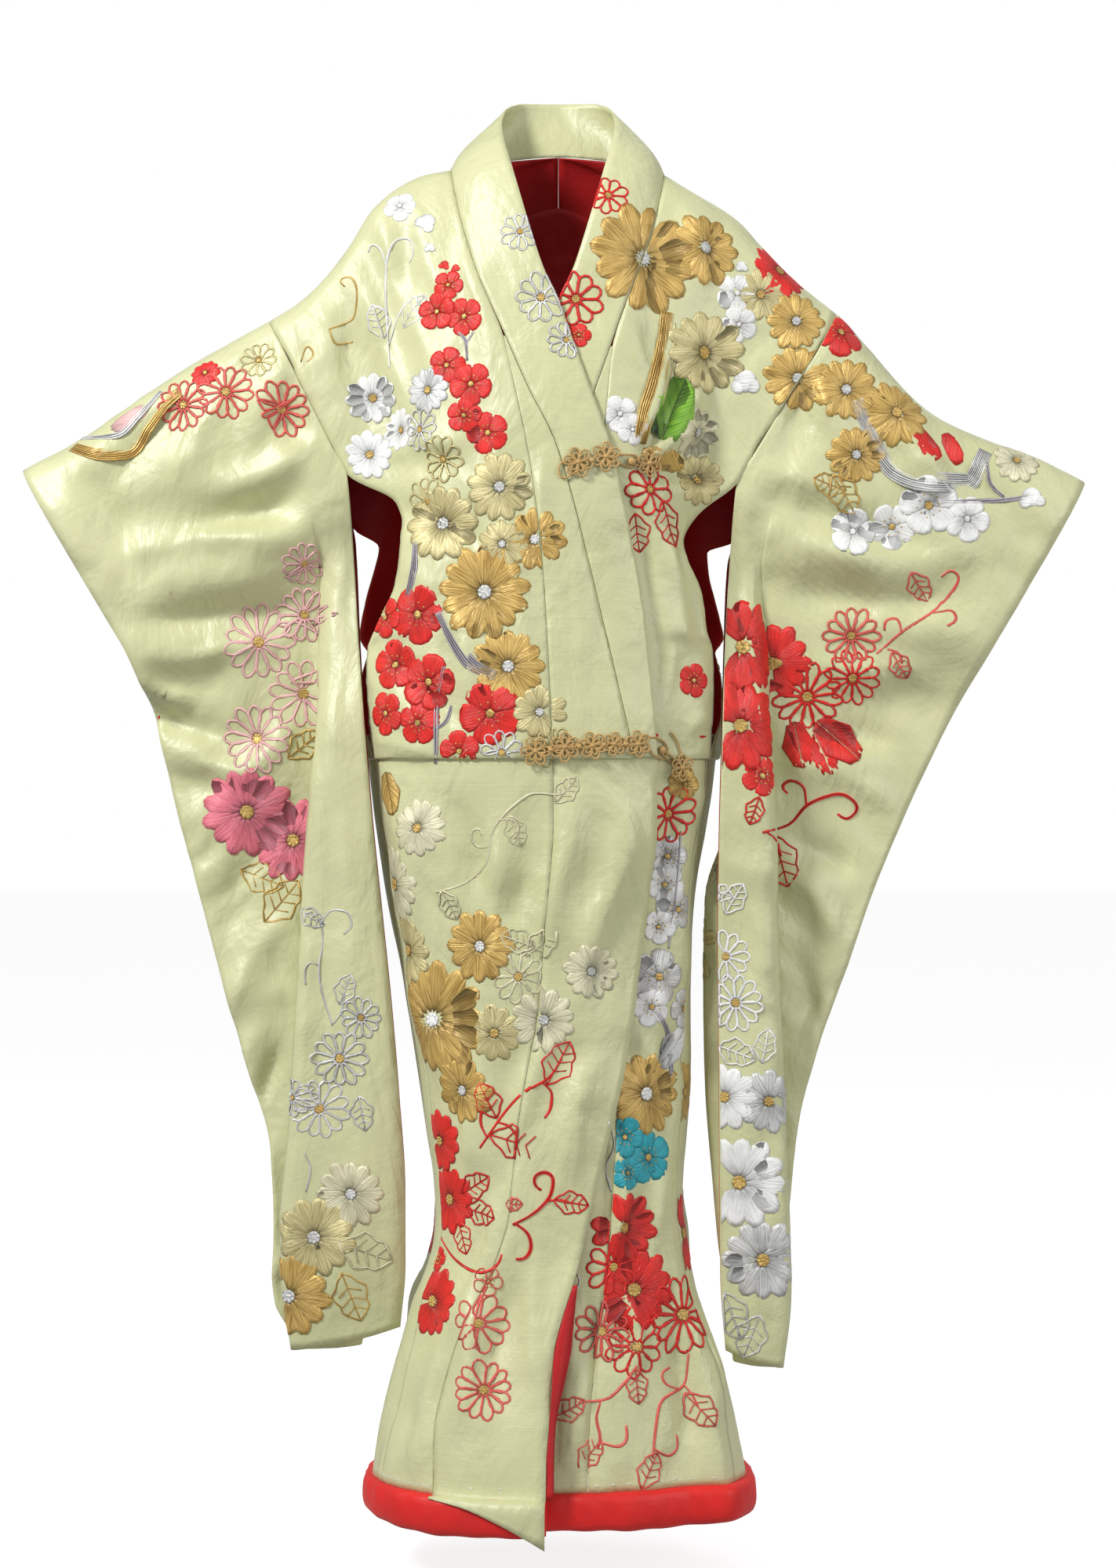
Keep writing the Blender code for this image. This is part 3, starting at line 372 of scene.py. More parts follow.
def panel_rows(side):
    """The points of a body panel, a row at a time from the front hem over the shoulder to the back hem."""
    sign = -1 if side == "right" else 1
    rows = []
    for z, out in reversed(lower_rows()):
        inner = angle_at(seam_x(side, z), z, out)
        outer = -sign * SIDE_SEAM
        angles = np.linspace(inner, outer, PANEL_COLUMNS)
        rows.append([skirt_point(angle, z, side, out) for angle in angles])
    neck = list(NECK_CUT)
    neck_half = seam_x(side, 0.0)
    for half, z_in, z_out, x_out in UPPER[side]:
        if half == "front":
            x_in = seam_x(side, z_in)
        elif half == "ridge":
            x_in = neck_half
        else:
            x_in = neck_half * neck.pop(0) if half == "neck" else 0.0
        row = []
        for t in np.linspace(0, 1, PANEL_COLUMNS):
            x = lerp(x_in, x_out, t)
            if half == "ridge":
                row.append(np.array([x, 0.0, ridge_height(x)]))
                continue
            z = lerp(z_in, z_out, t)
            sag = ridge_height(x) - lerp(ridge_height(x_in), ridge_height(x_out), t)
            near = 1 - ease(abs(z_in) / 240)
            z = min(z + sag * near, ridge_height(x) - 0.5)
            if half == "front":
                row.append(front_point(x, z, side))
            else:
                row.append(np.array([x, surface_y(x, z, "back"), z]))
        rows.append(row)
    for z, out in lower_rows():
        side_angle = spline(OPEN_SIDE, z) if z > TUCK_HEIGHT else SIDE_SEAM
        if side == "right":
            angles = np.linspace(180, side_angle, PANEL_COLUMNS)
        else:
            angles = np.linspace(-180, -side_angle, PANEL_COLUMNS)
        rows.append([section_point(angle, z, out) for angle in angles])
    return np.array(rows)


def overlap_heights(side):
    """Heights of an overlap's rows from its tip to the waist, those of the panel beside it."""
    heights = [row[1] for row in UPPER[side] if row[0] == "front" and row[1] <= OVERLAP_TIP[side]]
    return sorted(heights, reverse=True)


def overlap_rows(side):
    """The points of an overlap, from its tip at the collar down to the hem."""
    collar = COLLAR_SEAM[side]
    edge = FRONT_EDGE[side]
    way = 1 if side == "right" else -1
    rows = []
    for z in overlap_heights(side):
        start = seam_x(side, z)
        end = float(spline(collar, z))
        end = max(end, start + TIP_WIDTH) if way > 0 else min(end, start - TIP_WIDTH)
        rows.append([front_point(x, z, side) for x in np.linspace(start, end, OVERLAP_COLUMNS)])
    for i, (z, out) in enumerate(lower_rows()):
        end_x = float(spline(collar if i < len(WAIST_ROWS) + 4 else edge, z))
        angles = np.linspace(angle_at(seam_x(side, z), z, out), angle_at(end_x, z, out), OVERLAP_COLUMNS)
        rows.append([skirt_point(angle, z, side, out) for angle in angles])
    return np.array(rows)


def collar_rows(side, panel, overlap):
    """The points of half the collar from the waist tuck to the middle of the back neck, seam edge first."""
    edge_line = COLLAR_EDGE[side]
    sign = -1 if side == "right" else 1
    heights = overlap_heights(side)
    below = lower_rows()[: len(WAIST_ROWS) + 2]
    rows = []
    for i in range(len(below) - 1, -1, -1):
        z, out = below[i]
        seam = overlap[len(heights) + i, -1]
        edge = angle_at(float(spline(edge_line, z)), z, out)
        angles = np.linspace(angle_at(seam[0], z, out), edge, COLLAR_COLUMNS)
        rows.append([seam] + [skirt_point(angle, z, side, out) for angle in angles[1:]])
    for i in range(len(heights) - 1, -1, -1):
        seam = overlap[i, -1]
        xs = np.linspace(seam[0], float(spline(edge_line, heights[i])), COLLAR_COLUMNS)
        rows.append([seam] + [front_point(x, heights[i], side) for x in xs[1:]])
    first = neck_row(side)
    for i, (x, y, z, bulge) in enumerate(COLLAR_EDGE_NECK):
        seam = panel[first + i + 1, 0]
        sunk = underlap(z) * float(ease((-90 - z) / 60)) if side == "left" else 0.0
        edge = np.array([x * sign, y + sunk, z])
        row = []
        for t in np.linspace(0, 1, COLLAR_COLUMNS):
            point = lerp(seam, edge, t)
            away = np.array([point[0], point[1] + 10, 0])
            row.append(point + away / np.linalg.norm(away) * bulge * 4 * t * (1 - t))
        rows.append(row)
    return np.array(rows)


def neck_row(side):
    """The row of a panel where its overlap ends and the collar joins it."""
    above = sum(row[0] == "front" and row[1] < OVERLAP_TIP[side] for row in UPPER[side])
    return len(lower_rows()) + above


def armhole_rows(side):
    """First and last row of a panel that are sewn to the sleeve."""
    table = UPPER[side]
    low = SLEEVE[side][0][2]
    first = next(i for i, row in enumerate(table) if row[2] >= low)
    last = next(i for i, row in enumerate(table) if row[0] == "back" and row[2] < low - 30)
    return len(lower_rows()) + first, len(lower_rows()) + last


def sleeve_path(section, sign, layer):
    """The points of one hanging row of a sleeve, from the edge near the body to the outer edge."""
    _, x_in, z_in, x_crest, turn, hidden, x_out, z_out, gap = section
    radius = gap / 2 + PLEAT_CLEAR
    turn = math.radians(turn)
    depth = 2 * radius * (1 - math.cos(turn)) + hidden * math.sin(turn)
    here = np.array([sign * x_in, -depth])
    crest = sign * x_crest
    steps = []
    for count, kind in zip(SLEEVE_STEPS, ("strip", "crest", "hidden", "turn", "outer")):
        steps += [(kind, i, count) for i in range(1, count + 1)]
    plan = [(here.copy(), 0.0)]
    heading = 0.0
    start = here.copy()
    for kind, i, count in steps:
        if kind == "strip":
            here = np.array([lerp(sign * x_in, crest, i / count), -depth])
        elif kind == "crest":
            if i == 1:
                start = here.copy()
            heading = turn * i / count
            here = start + radius * np.array([math.sin(heading), 1 - math.cos(heading)])
        elif kind == "hidden":
            here = here + hidden / count * np.array([math.cos(turn), math.sin(turn)])
        elif kind == "turn":
            if i == 1:
                start = here + radius * np.array([math.sin(turn), -math.cos(turn)])
            heading = turn * (1 - i / count)
            here = start + radius * np.array([-math.sin(heading), math.cos(heading)])
        else:
            if i == 1:
                start = here.copy()
                heading = 0.0
            here = lerp(start, np.array([sign * x_out, 0.0]), i / count)
        plan.append((here.copy(), heading))
    points = np.array([p for p, _ in plan])
    lengths = np.concatenate([[0], np.cumsum(np.linalg.norm(np.diff(points, axis=0), axis=1))])
    share = lengths / lengths[-1]
    outer_start = len(plan) - SLEEVE_STEPS[-1] - 1
    row = []
    for n, (point, heading) in enumerate(plan):
        t = (n - outer_start) / SLEEVE_STEPS[-1]
        half = lerp(gap, SEWN, float(ease((t - 0.25) / 0.75))) / 2
        side = half if layer == "front" else -half
        u = point[0] + side * math.sin(heading)
        y = point[1] - side * math.cos(heading)
        sag = BOTTOM_ROUND * (4 * share[n] * (1 - share[n])) * float(gap == SEWN)
        row.append(np.array([sign * u, y, lerp(z_in, z_out, share[n]) - sag]))
    return row


def sleeve_rows(side, panel):
    """The points of a sleeve from the bottom of its front layer over the arm to that of its back layer."""
    table = SLEEVE[side]
    sign = -1 if side == "right" else 1
    first, last = armhole_rows(side)
    seam = panel[first : last + 1, -1]
    middle = int(np.argmax(seam[:, 2]))
    top = seam[middle]
    cuff_x, cuff_z = CUFF_TOP[side]
    cuff_top = np.array([cuff_x, 0.0, cuff_z])
    cuff_low = np.array([table[0][6], 0.0, table[0][7]])
    lowest = np.linalg.norm((seam[0] - top)[[0, 2]])
    rows = [sleeve_path(section, sign, "front") for section in reversed(table[1:])]
    guide = sleeve_path(table[1], sign, "front")
    stations = np.array([point[0] for point in guide])
    shares = (stations - stations[0]) / (stations[-1] - stations[0])
    for k, start in enumerate(seam):
        t = min(np.linalg.norm((start - top)[[0, 2]]) / lowest, 1.0)
        end = lerp(cuff_top, cuff_low, t)
        drop = cuff_z - end[2]
        arm = math.sqrt(max(ARM_ROUND**2 - max(ARM_ROUND - drop, 0) ** 2, 0))
        arm = lerp(arm, table[0][8] / 2, float(ease((drop - 50) / 150)))
        end[1] = arm if k > middle else -arm
        row = []
        for share in shares:
            point = lerp(start, end, share)
            line = lerp(top[2], cuff_z, share)
            x = lerp(top[0], cuff_x, share)
            point[2] += (ridge_height(x) - line) * (1 - float(ease(t * 1.3)))
            row.append(point)
        rows.append(row)
    rows += [sleeve_path(section, sign, "back") for section in table[1:]]
    return np.array(rows)


def unit(vectors):
    length = np.linalg.norm(vectors, axis=-1, keepdims=True)
    return vectors / np.where(length > 1e-9, length, 1)


def normals_of(grid, before=None, after=None):
    """Unit normals of a grid. before and after are the columns it is sewn to, nan where there are none."""
    rows, columns = grid.shape[:2]
    blank = np.full((rows, 1, 3), np.nan)
    left = blank if before is None else before[:, None]
    right = blank if after is None else after[:, None]
    wide = np.concatenate([left, grid, right], axis=1)
    across = wide[1:, 1:] - wide[:-1, :-1]
    along = wide[1:, :-1] - wide[:-1, 1:]
    faces = np.nan_to_num(np.cross(along, across))
    found = np.zeros_like(wide)
    for i in (0, 1):
        for j in (0, 1):
            found[i : rows - 1 + i, j : columns + 1 + j] += faces
    return unit(found[:, 1:-1])


def draw_in(grid, normals, first_column=HALF_GAP, last_column=HALF_GAP):
    """Moves the side edges of a grid inwards, square to each edge, which leaves the gap of a seam."""
    moved = grid.copy()
    for edge, inner, distance in ((0, 1, first_column), (-1, -2, last_column)):
        line = grid[:, edge]
        ends = np.concatenate([line[:1], line, line[-1:]])
        inward = unit(np.cross(normals[:, edge], unit(ends[2:] - ends[:-2])))
        inside = grid[:, inner] - line
        rows = (inside[1:], inside[-1:]), (inside[:1], inside[:-1])
        beside = np.concatenate(rows[0]) + np.concatenate(rows[1]) + inside
        inward = inward * np.sign(np.sum(inward * beside, axis=1, keepdims=True))
        reach = np.maximum(np.linalg.norm(inside, axis=1, keepdims=True), 1e-6)
        moved[:, edge] = line + inward * np.minimum(distance, 0.4 * reach)
    return moved


def mated(edge, other_edge, other_inner):
    """The neighbouring column across a seam, nan where the two edges lie apart."""
    near = np.linalg.norm(edge - other_edge, axis=1, keepdims=True) < 2.5
    return np.where(near, other_inner, np.nan)


# Creases, each from one place in the picture to another, with its width in pixels and its rise in
# millimetres. A negative rise is a trough. Those of the back are seen through the robe, in the same pixels.
CREASES = {
    "right": [
        (474, 250, 560, 500, 16, 3.0), (520, 240, 600, 430, 14, 2.4), (450, 330, 520, 560, 15, 3.4),
        (440, 380, 478, 590, 12, -3.0), (585, 300, 640, 520, 15, 2.0), (455, 590, 610, 560, 14, 2.6),
        (500, 640, 640, 690, 18, -2.6), (495, 700, 620, 860, 20, 2.4), (480, 800, 600, 940, 18, -2.4),
        (640, 620, 690, 900, 20, 2.2), (560, 700, 600, 950, 14, 1.8), (475, 930, 560, 965, 10, 2.2),
        (500, 1010, 560, 1260, 24, 3.2), (560, 1000, 640, 1180, 20, -2.4), (520, 1180, 600, 1420, 20, 2.6),
        (640, 1040, 600, 1300, 16, 2.6), (690, 1000, 650, 1200, 16, -2.2), (740, 980, 690, 1240, 18, 3.0),
        (800, 1000, 740, 1280, 16, 2.4), (820, 1080, 760, 1330, 12, -2.2), (700, 1290, 640, 1480, 14, 2.8),
        (760, 1330, 700, 1560, 14, 3.0), (560, 1480, 510, 1720, 18, 3.2), (600, 1620, 570, 1860, 18, 3.4),
        (650, 1600, 640, 1880, 16, -3.2), (540, 1640, 500, 1880, 16, -3.0), (680, 1560, 670, 1860, 10, 2.2),
        (690, 560, 730, 820, 12, 1.6), (740, 640, 760, 900, 12, -1.4), (620, 480, 600, 620, 14, -2.0),
    ],
    "left": [
        (870, 250, 930, 470, 18, 3.0), (830, 300, 860, 520, 16, -2.6), (900, 300, 960, 440, 14, 2.4),
        (800, 580, 860, 420, 10, 2.6), (805, 585, 900, 470, 10, -2.4), (810, 590, 930, 540, 10, 2.6),
        (815, 600, 925, 610, 9, -2.2), (800, 600, 850, 760, 12, 2.4), (830, 620, 890, 800, 12, 2.2),
        (870, 660, 900, 860, 10, -2.0), (835, 700, 850, 900, 9, 1.8), (870, 930, 905, 905, 8, 2.4),
        (860, 960, 890, 1060, 12, 2.2), (850, 1000, 850, 1200, 14, -2.4), (880, 1040, 870, 1300, 14, 2.4),
        (840, 1180, 820, 1400, 14, 2.6), (860, 1300, 850, 1480, 14, -2.4), (788, 1420, 790, 1620, 9, 3.4),
        (796, 1640, 808, 1760, 9, 3.0), (840, 1480, 850, 1760, 18, 3.0), (880, 1600, 910, 1860, 18, 3.2),
        (760, 1620, 758, 1860, 10, -2.6), (735, 1640, 730, 1900, 9, 2.2), (860, 1700, 870, 1870, 14, -2.6),
    ],
    "back": [
        (600, 260, 560, 560, 26, 3.4), (840, 260, 870, 560, 26, 3.4), (700, 300, 700, 620, 30, -3.0),
        (520, 300, 500, 600, 20, -3.0), (920, 320, 930, 600, 20, -3.0), (560, 600, 600, 900, 26, 3.2),
        (850, 600, 830, 920, 26, 3.0), (640, 660, 720, 940, 24, -2.6), (780, 640, 700, 940, 24, 2.4),
        (520, 700, 560, 950, 16, -2.6), (890, 700, 860, 950, 16, 2.6), (560, 1010, 600, 1330, 26, 3.2),
        (650, 1020, 640, 1420, 26, -3.0), (720, 1000, 740, 1400, 28, 3.0), (800, 1020, 790, 1380, 24, -2.8),
        (860, 1010, 840, 1330, 20, 2.8), (580, 1420, 520, 1860, 24, 4.0), (640, 1440, 610, 1880, 22, -3.6),
        (700, 1450, 705, 1880, 24, 3.8), (770, 1440, 790, 1880, 22, -3.4), (840, 1430, 890, 1860, 24, 3.8),
        (520, 1560, 490, 1860, 16, -3.0), (880, 1560, 930, 1840, 16, -3.0),
    ],
    "sleeve_right": [
        (400, 410, 300, 620, 20, 4.0), (345, 450, 420, 620, 16, -3.4), (300, 480, 210, 640, 22, 3.6),
        (250, 510, 130, 640, 18, -3.0), (430, 560, 250, 660, 18, 4.4), (420, 620, 160, 700, 22, -4.6),
        (415, 690, 120, 720, 24, 5.4), (405, 760, 150, 790, 20, -4.6), (400, 820, 170, 850, 22, 4.6),
        (160, 860, 260, 900, 12, 5.0), (185, 910, 300, 950, 14, -4.4), (200, 950, 330, 990, 14, 4.4),
        (390, 900, 230, 1080, 20, 3.4), (380, 1010, 260, 1200, 18, -3.4), (372, 1150, 280, 1330, 18, 3.2),
        (360, 1300, 300, 1500, 16, -3.0), (350, 1420, 345, 1640, 12, 2.6), (60, 620, 120, 740, 14, 3.6),
        (100, 590, 200, 780, 18, -3.4), (440, 700, 430, 980, 12, 2.6), (435, 1000, 450, 1320, 16, 3.0),
        (410, 1080, 420, 1460, 16, -2.8), (480, 1260, 490, 1640, 14, 3.2), (440, 1420, 420, 1700, 18, 3.0),
    ],
    "sleeve_left": [
        (1010, 410, 1090, 620, 20, 4.0), (1060, 440, 990, 620, 16, -3.4), (1110, 480, 1190, 660, 22, 3.6),
        (1180, 530, 1290, 680, 18, -3.2), (960, 590, 1130, 680, 18, 4.2), (975, 650, 1230, 720, 22, -4.6),
        (980, 700, 1290, 700, 24, 4.6), (985, 770, 1260, 780, 20, -4.4), (985, 840, 1230, 860, 22, 4.6),
        (985, 900, 1170, 960, 18, -3.8), (990, 960, 1150, 1040, 18, 3.8), (985, 1040, 1110, 1120, 16, -3.4),
        (995, 1100, 1090, 1220, 16, 3.2), (1000, 1200, 1060, 1330, 14, -3.0), (1300, 640, 1340, 690, 14, 3.4),
        (950, 700, 945, 980, 12, 2.6), (935, 900, 930, 1240, 14, -2.8), (960, 1100, 965, 1420, 14, 3.0),
        (935, 1300, 935, 1600, 14, 2.8), (975, 1400, 980, 1660, 12, -2.6), (950, 1500, 955, 1720, 14, 3.0),
    ],
}


def picture_place(points):
    """The pixels where points of the robe show in the picture, seen from the camera."""
    scale = CAMERA_DISTANCE / (CAMERA_DISTANCE + points[..., 1]) / PIXEL
    x = IMAGE_WIDTH / 2 + (points[..., 0] - CAMERA_X) * scale
    y = IMAGE_HEIGHT / 2 + (CAMERA_Z - points[..., 2]) * scale
    return x, y


def smooth_noise(x, y, size, seed):
    """Smooth unevenness between about -1 and 1, with features of roughly this size."""
    chance = np.random.default_rng(seed)
    total = np.zeros_like(x)
    for _ in range(7):
        angle = chance.uniform(0, 2 * math.pi)
        wave = 2 * math.pi / (size * chance.uniform(0.7, 1.9))
        total += np.sin((x * math.cos(angle) + y * math.sin(angle)) * wave + chance.uniform(0, 6.28))
    return total / 3.6


def crumple(x, y, size, seed):
    """Sharp little ridges in soft patches, as silk keeps when it has been folded away."""
    across = x + 0.5 * size * smooth_noise(x, y, 2.2 * size, seed + 1)
    down = y + 0.5 * size * smooth_noise(x, y, 2.5 * size, seed + 2)
    line = smooth_noise(across, down, size, seed)
    patch = ease(0.5 + 0.9 * smooth_noise(x, y, 5 * size, seed + 3))
    return (0.6 - np.sqrt(line * line + 0.012)) * patch


def crease_rise(name, x, y):
    """Rise of the cloth from the creases of one layer, in millimetres, at places of the picture."""
    total = np.zeros_like(x)
    for i, (x0, y0, x1, y1, width, rise) in enumerate(CREASES[name]):
        way = np.array([x1 - x0, y1 - y0], float)
        length = np.linalg.norm(way)
        way /= length
        along = (x - x0) * way[0] + (y - y0) * way[1]
        bow = 0.05 * length * math.sin(i * 2.4)
        t = along / length
        across = (x - x0) * -way[1] + (y - y0) * way[0] - bow * 4 * t * (1 - t)
        across = across + 4 * np.sin(along / (26 + 3 * (i % 4)) + i)
        fade = ease(t / 0.3) * ease((1 - t) / 0.35)
        uneven = 1 + 0.3 * np.sin(along / (34 + 5 * (i % 5)) + 2.1 * i)
        ridge = np.exp(-1.25 * (np.sqrt((across / width) ** 2 + 0.1) - 0.316))
        side = np.exp(-(((across - 1.9 * width) / (1.2 * width)) ** 2))
        total += rise * fade * uneven * (ridge - 0.5 * side)
    return total


def ridge_line(x):
    right = spline(RIDGE["right"], np.abs(x))
    left = spline(RIDGE["left"], np.abs(x))
    return np.where(x < 0, right, left)


def cloth_rise(layer, points):
    """How far creases and unevenness lift the cloth of a layer."""
    if layer.startswith("sleeve"):
        flat = points * np.array([1.0, 0.0, 1.0])
        x, y = picture_place(flat)
        over_arm = ease((points[..., 2] - ridge_line(points[..., 0]) + 60) / 50)
        small = 1.1 * smooth_noise(x, y, 90, 5) + 4.4 * crumple(x, y * 0.8, 95, 6)
        small = small + 1.8 * crumple(x, y, 42, 12)
        return (2.8 * crease_rise(layer, x, y) + small) * (1 - 0.7 * over_arm)
    x, y = picture_place(points)
    depth = points[..., 1]
    toward = ease((-depth - 5) / 45)
    away = ease((depth - 5) / 45)
    front = crease_rise("right", x, y)
    if layer != "right":
        low = points[..., 2] < -640
        lower, upper = (spline(lines["right"], points[..., 2]) for lines in (FRONT_EDGE, COLLAR_EDGE))
        edge = np.where(low, lower, upper)
        covered = ease((edge + 8 - points[..., 0]) / 30)
        under = lerp(crease_rise("left", x, y), front, covered)
        half = points.shape[0] // 2
        own_half = (np.arange(points.shape[0]) < half).reshape(-1, *[1] * (points.ndim - 2))
        front = np.where(own_half, front, under) if layer == "collar" else under
    back = crease_rise("back", x, y)
    small = 0.8 * smooth_noise(x, y, 110, 3) + 3.2 * crumple(x, y * 0.7, 85, 4)
    small = small + 1.5 * crumple(x, y * 0.8, 38, 20)
    return 2.9 * (front * toward + back * away) + small * np.maximum(toward, away)


def resample(grid, extra, spacing, axis):
    """Adds smooth lines between the lines of a grid, and mixes the extra values of its points to match."""
    lines = np.moveaxis(grid, axis, 0)
    values = np.moveaxis(extra, axis, 0)
    width = np.maximum(np.linalg.norm(np.diff(lines, axis=0), axis=2).mean(axis=1), 1e-6)
    keys = np.concatenate([[0], np.cumsum(width)])
    steps = np.diff(lines, axis=0) / width[:, None, None]
    before = np.concatenate([steps[:1], steps])
    after = np.concatenate([steps, steps[-1:]])
    same_way = before * after > 0
    slope = np.where(same_way, 2 * before * after / np.where(same_way, before + after, 1), 0)
    found, mixed, places = [], [], []
    for i, size in enumerate(width):
        count = max(1, math.ceil(size / spacing - 0.2))
        for k in range(count + (i == len(width) - 1)):
            t = k / count
            found.append(
                lines[i] * (1 + 2 * t) * (1 - t) ** 2
                + lines[i + 1] * t * t * (3 - 2 * t)
                + size * (slope[i] * t * (1 - t) ** 2 - slope[i + 1] * t * t * (1 - t))
            )
            mixed.append(lerp(values[i], values[i + 1], t))
            places.append(keys[i] + size * t)
    return np.moveaxis(np.array(found), 0, axis), np.moveaxis(np.array(mixed), 0, axis), np.array(places)


def add_mesh(name, points, faces, finishes, slots=None, uv=None):
    """Makes a piece from points in millimetres. slots has each face's finish, uv a place for each point."""
    mesh = bpy.data.meshes.new(name)
    mesh.from_pydata((np.asarray(points, float) * MM).tolist(), [], faces)
    for material in finishes:
        mesh.materials.append(material)
    if slots is not None:
        mesh.polygons.foreach_set("material_index", np.asarray(slots, dtype=np.int32))
    if uv is not None:
        layer = mesh.uv_layers.new(name="cloth")
        corners = np.zeros(len(mesh.loops), dtype=np.int32)
        mesh.loops.foreach_get("vertex_index", corners)
        layer.data.foreach_set("uv", np.asarray(uv, float)[corners].ravel())
    mesh.shade_smooth()
    piece = bpy.data.objects.new(name, mesh)
    bpy.context.scene.collection.objects.link(piece)
    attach(piece, "root")
    return piece


def shell_faces(rows, columns, flip):
    """Faces of a closed shell over two layers of a grid, and the material slot of each."""
    count = rows * columns
    index = np.arange(count).reshape(rows, columns)
    quads = np.stack([index[:-1, :-1], index[1:, :-1], index[1:, 1:], index[:-1, 1:]], axis=2).reshape(-1, 4)
    border = np.concatenate([index[:, 0], index[-1, 1:], index[-2::-1, -1], index[0, -2:0:-1]])
    after = np.roll(border, -1)
    rim = np.stack([after, border, border + count, after + count], axis=1)
    faces = np.concatenate([quads, quads[:, [0, 3, 2, 1]] + count, rim])
    if flip:
        faces = faces[:, ::-1]
    slots = np.concatenate([np.zeros(len(quads)), np.ones(len(quads)), np.zeros(len(rim))])
    return faces.tolist(), slots


# The fine surface of every piece of cloth, kept for what is sewn on it: name to points, normals and places.
surfaces = {}


def add_cloth(
    name, layer, coarse, normals, finishes, push=None, spacing=(8.0, 7.0), wall=1.2, sunk=0.0, lift=None
):
    """Makes a creased shell of cloth. push is the way that creases move it, sunk how far it lies in."""
    extra = np.concatenate([normals, normals if push is None else push], axis=2)
    grid, extra, down = resample(coarse, extra, spacing[0], 0)
    grid, extra, across = resample(grid, extra, spacing[1], 1)
    facing, way = unit(extra[:, :, :3]), extra[:, :, 3:]
    rise = cloth_rise(layer, grid) * bpy.context.scene.kimono.crease
    if lift is not None:
        rise = rise * lift(down, across)
    rise = rise + seam_rise(down, across)
    grid = grid + way * rise[:, :, None] - facing * sunk
    rows, columns = grid.shape[:2]
    layers = (grid + facing * wall / 2, grid - facing * wall / 2)
    points = np.concatenate([layer_points.reshape(-1, 3) for layer_points in layers])
    place = np.stack(np.meshgrid(across * MM, down * MM), axis=2).reshape(-1, 2)
    turned = np.cross(grid[1:, :-1] - grid[:-1, :-1], grid[:-1, 1:] - grid[:-1, :-1])
    faces, slots = shell_faces(rows, columns, np.sum(turned * facing[:-1, :-1]) < 0)
    surfaces[name] = (grid, facing, down, across, wall / 2)
    return add_mesh(name, points, faces, finishes, slots, np.concatenate([place, place]))


def seam_rise(down, across):
    """A sewn edge lies a little lower than the cloth beside it, and puckers along its stitches."""
    near = np.maximum(np.exp(-((across / 5.0) ** 2)), np.exp(-(((across[-1] - across) / 5.0) ** 2)))
    pucker = 0.3 * np.sin(down / 4.1) * np.sin(down / 17.0 + 1)
    return -(0.5 + pucker[:, None]) * near[None, :]


def sewn_grids():
    """The coarse grids of all pieces and the normals they share across their seams."""
    panels = {side: panel_rows(side) for side in ("right", "left")}
    overlaps = {side: overlap_rows(side) for side in ("right", "left")}
    collars = {side: collar_rows(side, panels[side], overlaps[side]) for side in ("right", "left")}
    sleeves = {side: sleeve_rows(side, panels[side]) for side in ("right", "left")}
    grids = {}
    low = len(lower_rows())
    neck = len(COLLAR_EDGE_NECK)
    for side, other, flip in (("right", "left", 1), ("left", "right", -1)):
        panel, overlap, collar, sleeve = panels[side], overlaps[side], collars[side], sleeves[side]
        heights = len(overlap_heights(side))
        first = neck_row(side)
        before = np.full((len(panel), 3), np.nan)
        before[: low + heights] = overlap[::-1][: low + heights, 1]
        before[first + 1 : first + neck] = collar[-neck:-1, 1]
        back = slice(first + neck + 1, len(panel))
        before[back] = panels[other][back, 1]
        after = mated(panel[:, -1], panel[::-1, -1], panel[::-1, -2])
        start, end = armhole_rows(side)
        rows = len(SLEEVE[side]) - 1
        after[start : end + 1] = sleeve[rows : rows + end + 1 - start, 1]
        normals = flip * normals_of(panel, before, after)
        grids[f"body_{side}"] = (draw_in(panel, normals), normals)
        before = panel[: len(overlap)][::-1, 1]
        after = np.full((len(overlap), 3), np.nan)
        seam_rows = collar[: len(collar) - neck][::-1]
        after[: len(seam_rows)] = seam_rows[:, 1]
        normals = flip * normals_of(overlap, before, after)
        grids[f"overlap_{side}"] = (draw_in(overlap, normals), normals)
        before = np.full((len(sleeve), 3), np.nan)
        before[rows : rows + end + 1 - start] = panel[start : end + 1, -2]
        normals = flip * normals_of(sleeve, before)
        sewn = np.zeros((len(sleeve), 1))
        sewn[rows : rows + end + 1 - start] = HALF_GAP
        grids[f"sleeve_{side}"] = (draw_in(sleeve, normals, sewn, 0.0), normals)
    halves, befores = [], []
    for side in ("right", "left"):
        panel, overlap, collar = panels[side], overlaps[side], collars[side]
        first = neck_row(side)
        lower = overlap[: len(collar) - neck][::-1, -2]
        upper = panel[first + 1 : first + neck, 1]
        befores.append(np.concatenate([lower, upper, panel[first + neck + 1, :1]]))
        halves.append(collar)
    grid = np.concatenate([halves[0], halves[1][::-1][1:]])
    before = np.concatenate([befores[0], befores[1][::-1][1:]])
    normals = -normals_of(grid, before)
    grids["collar"] = (draw_in(grid, normals, COLLAR_GAP, 0.0), normals)
    return grids, panels, overlaps


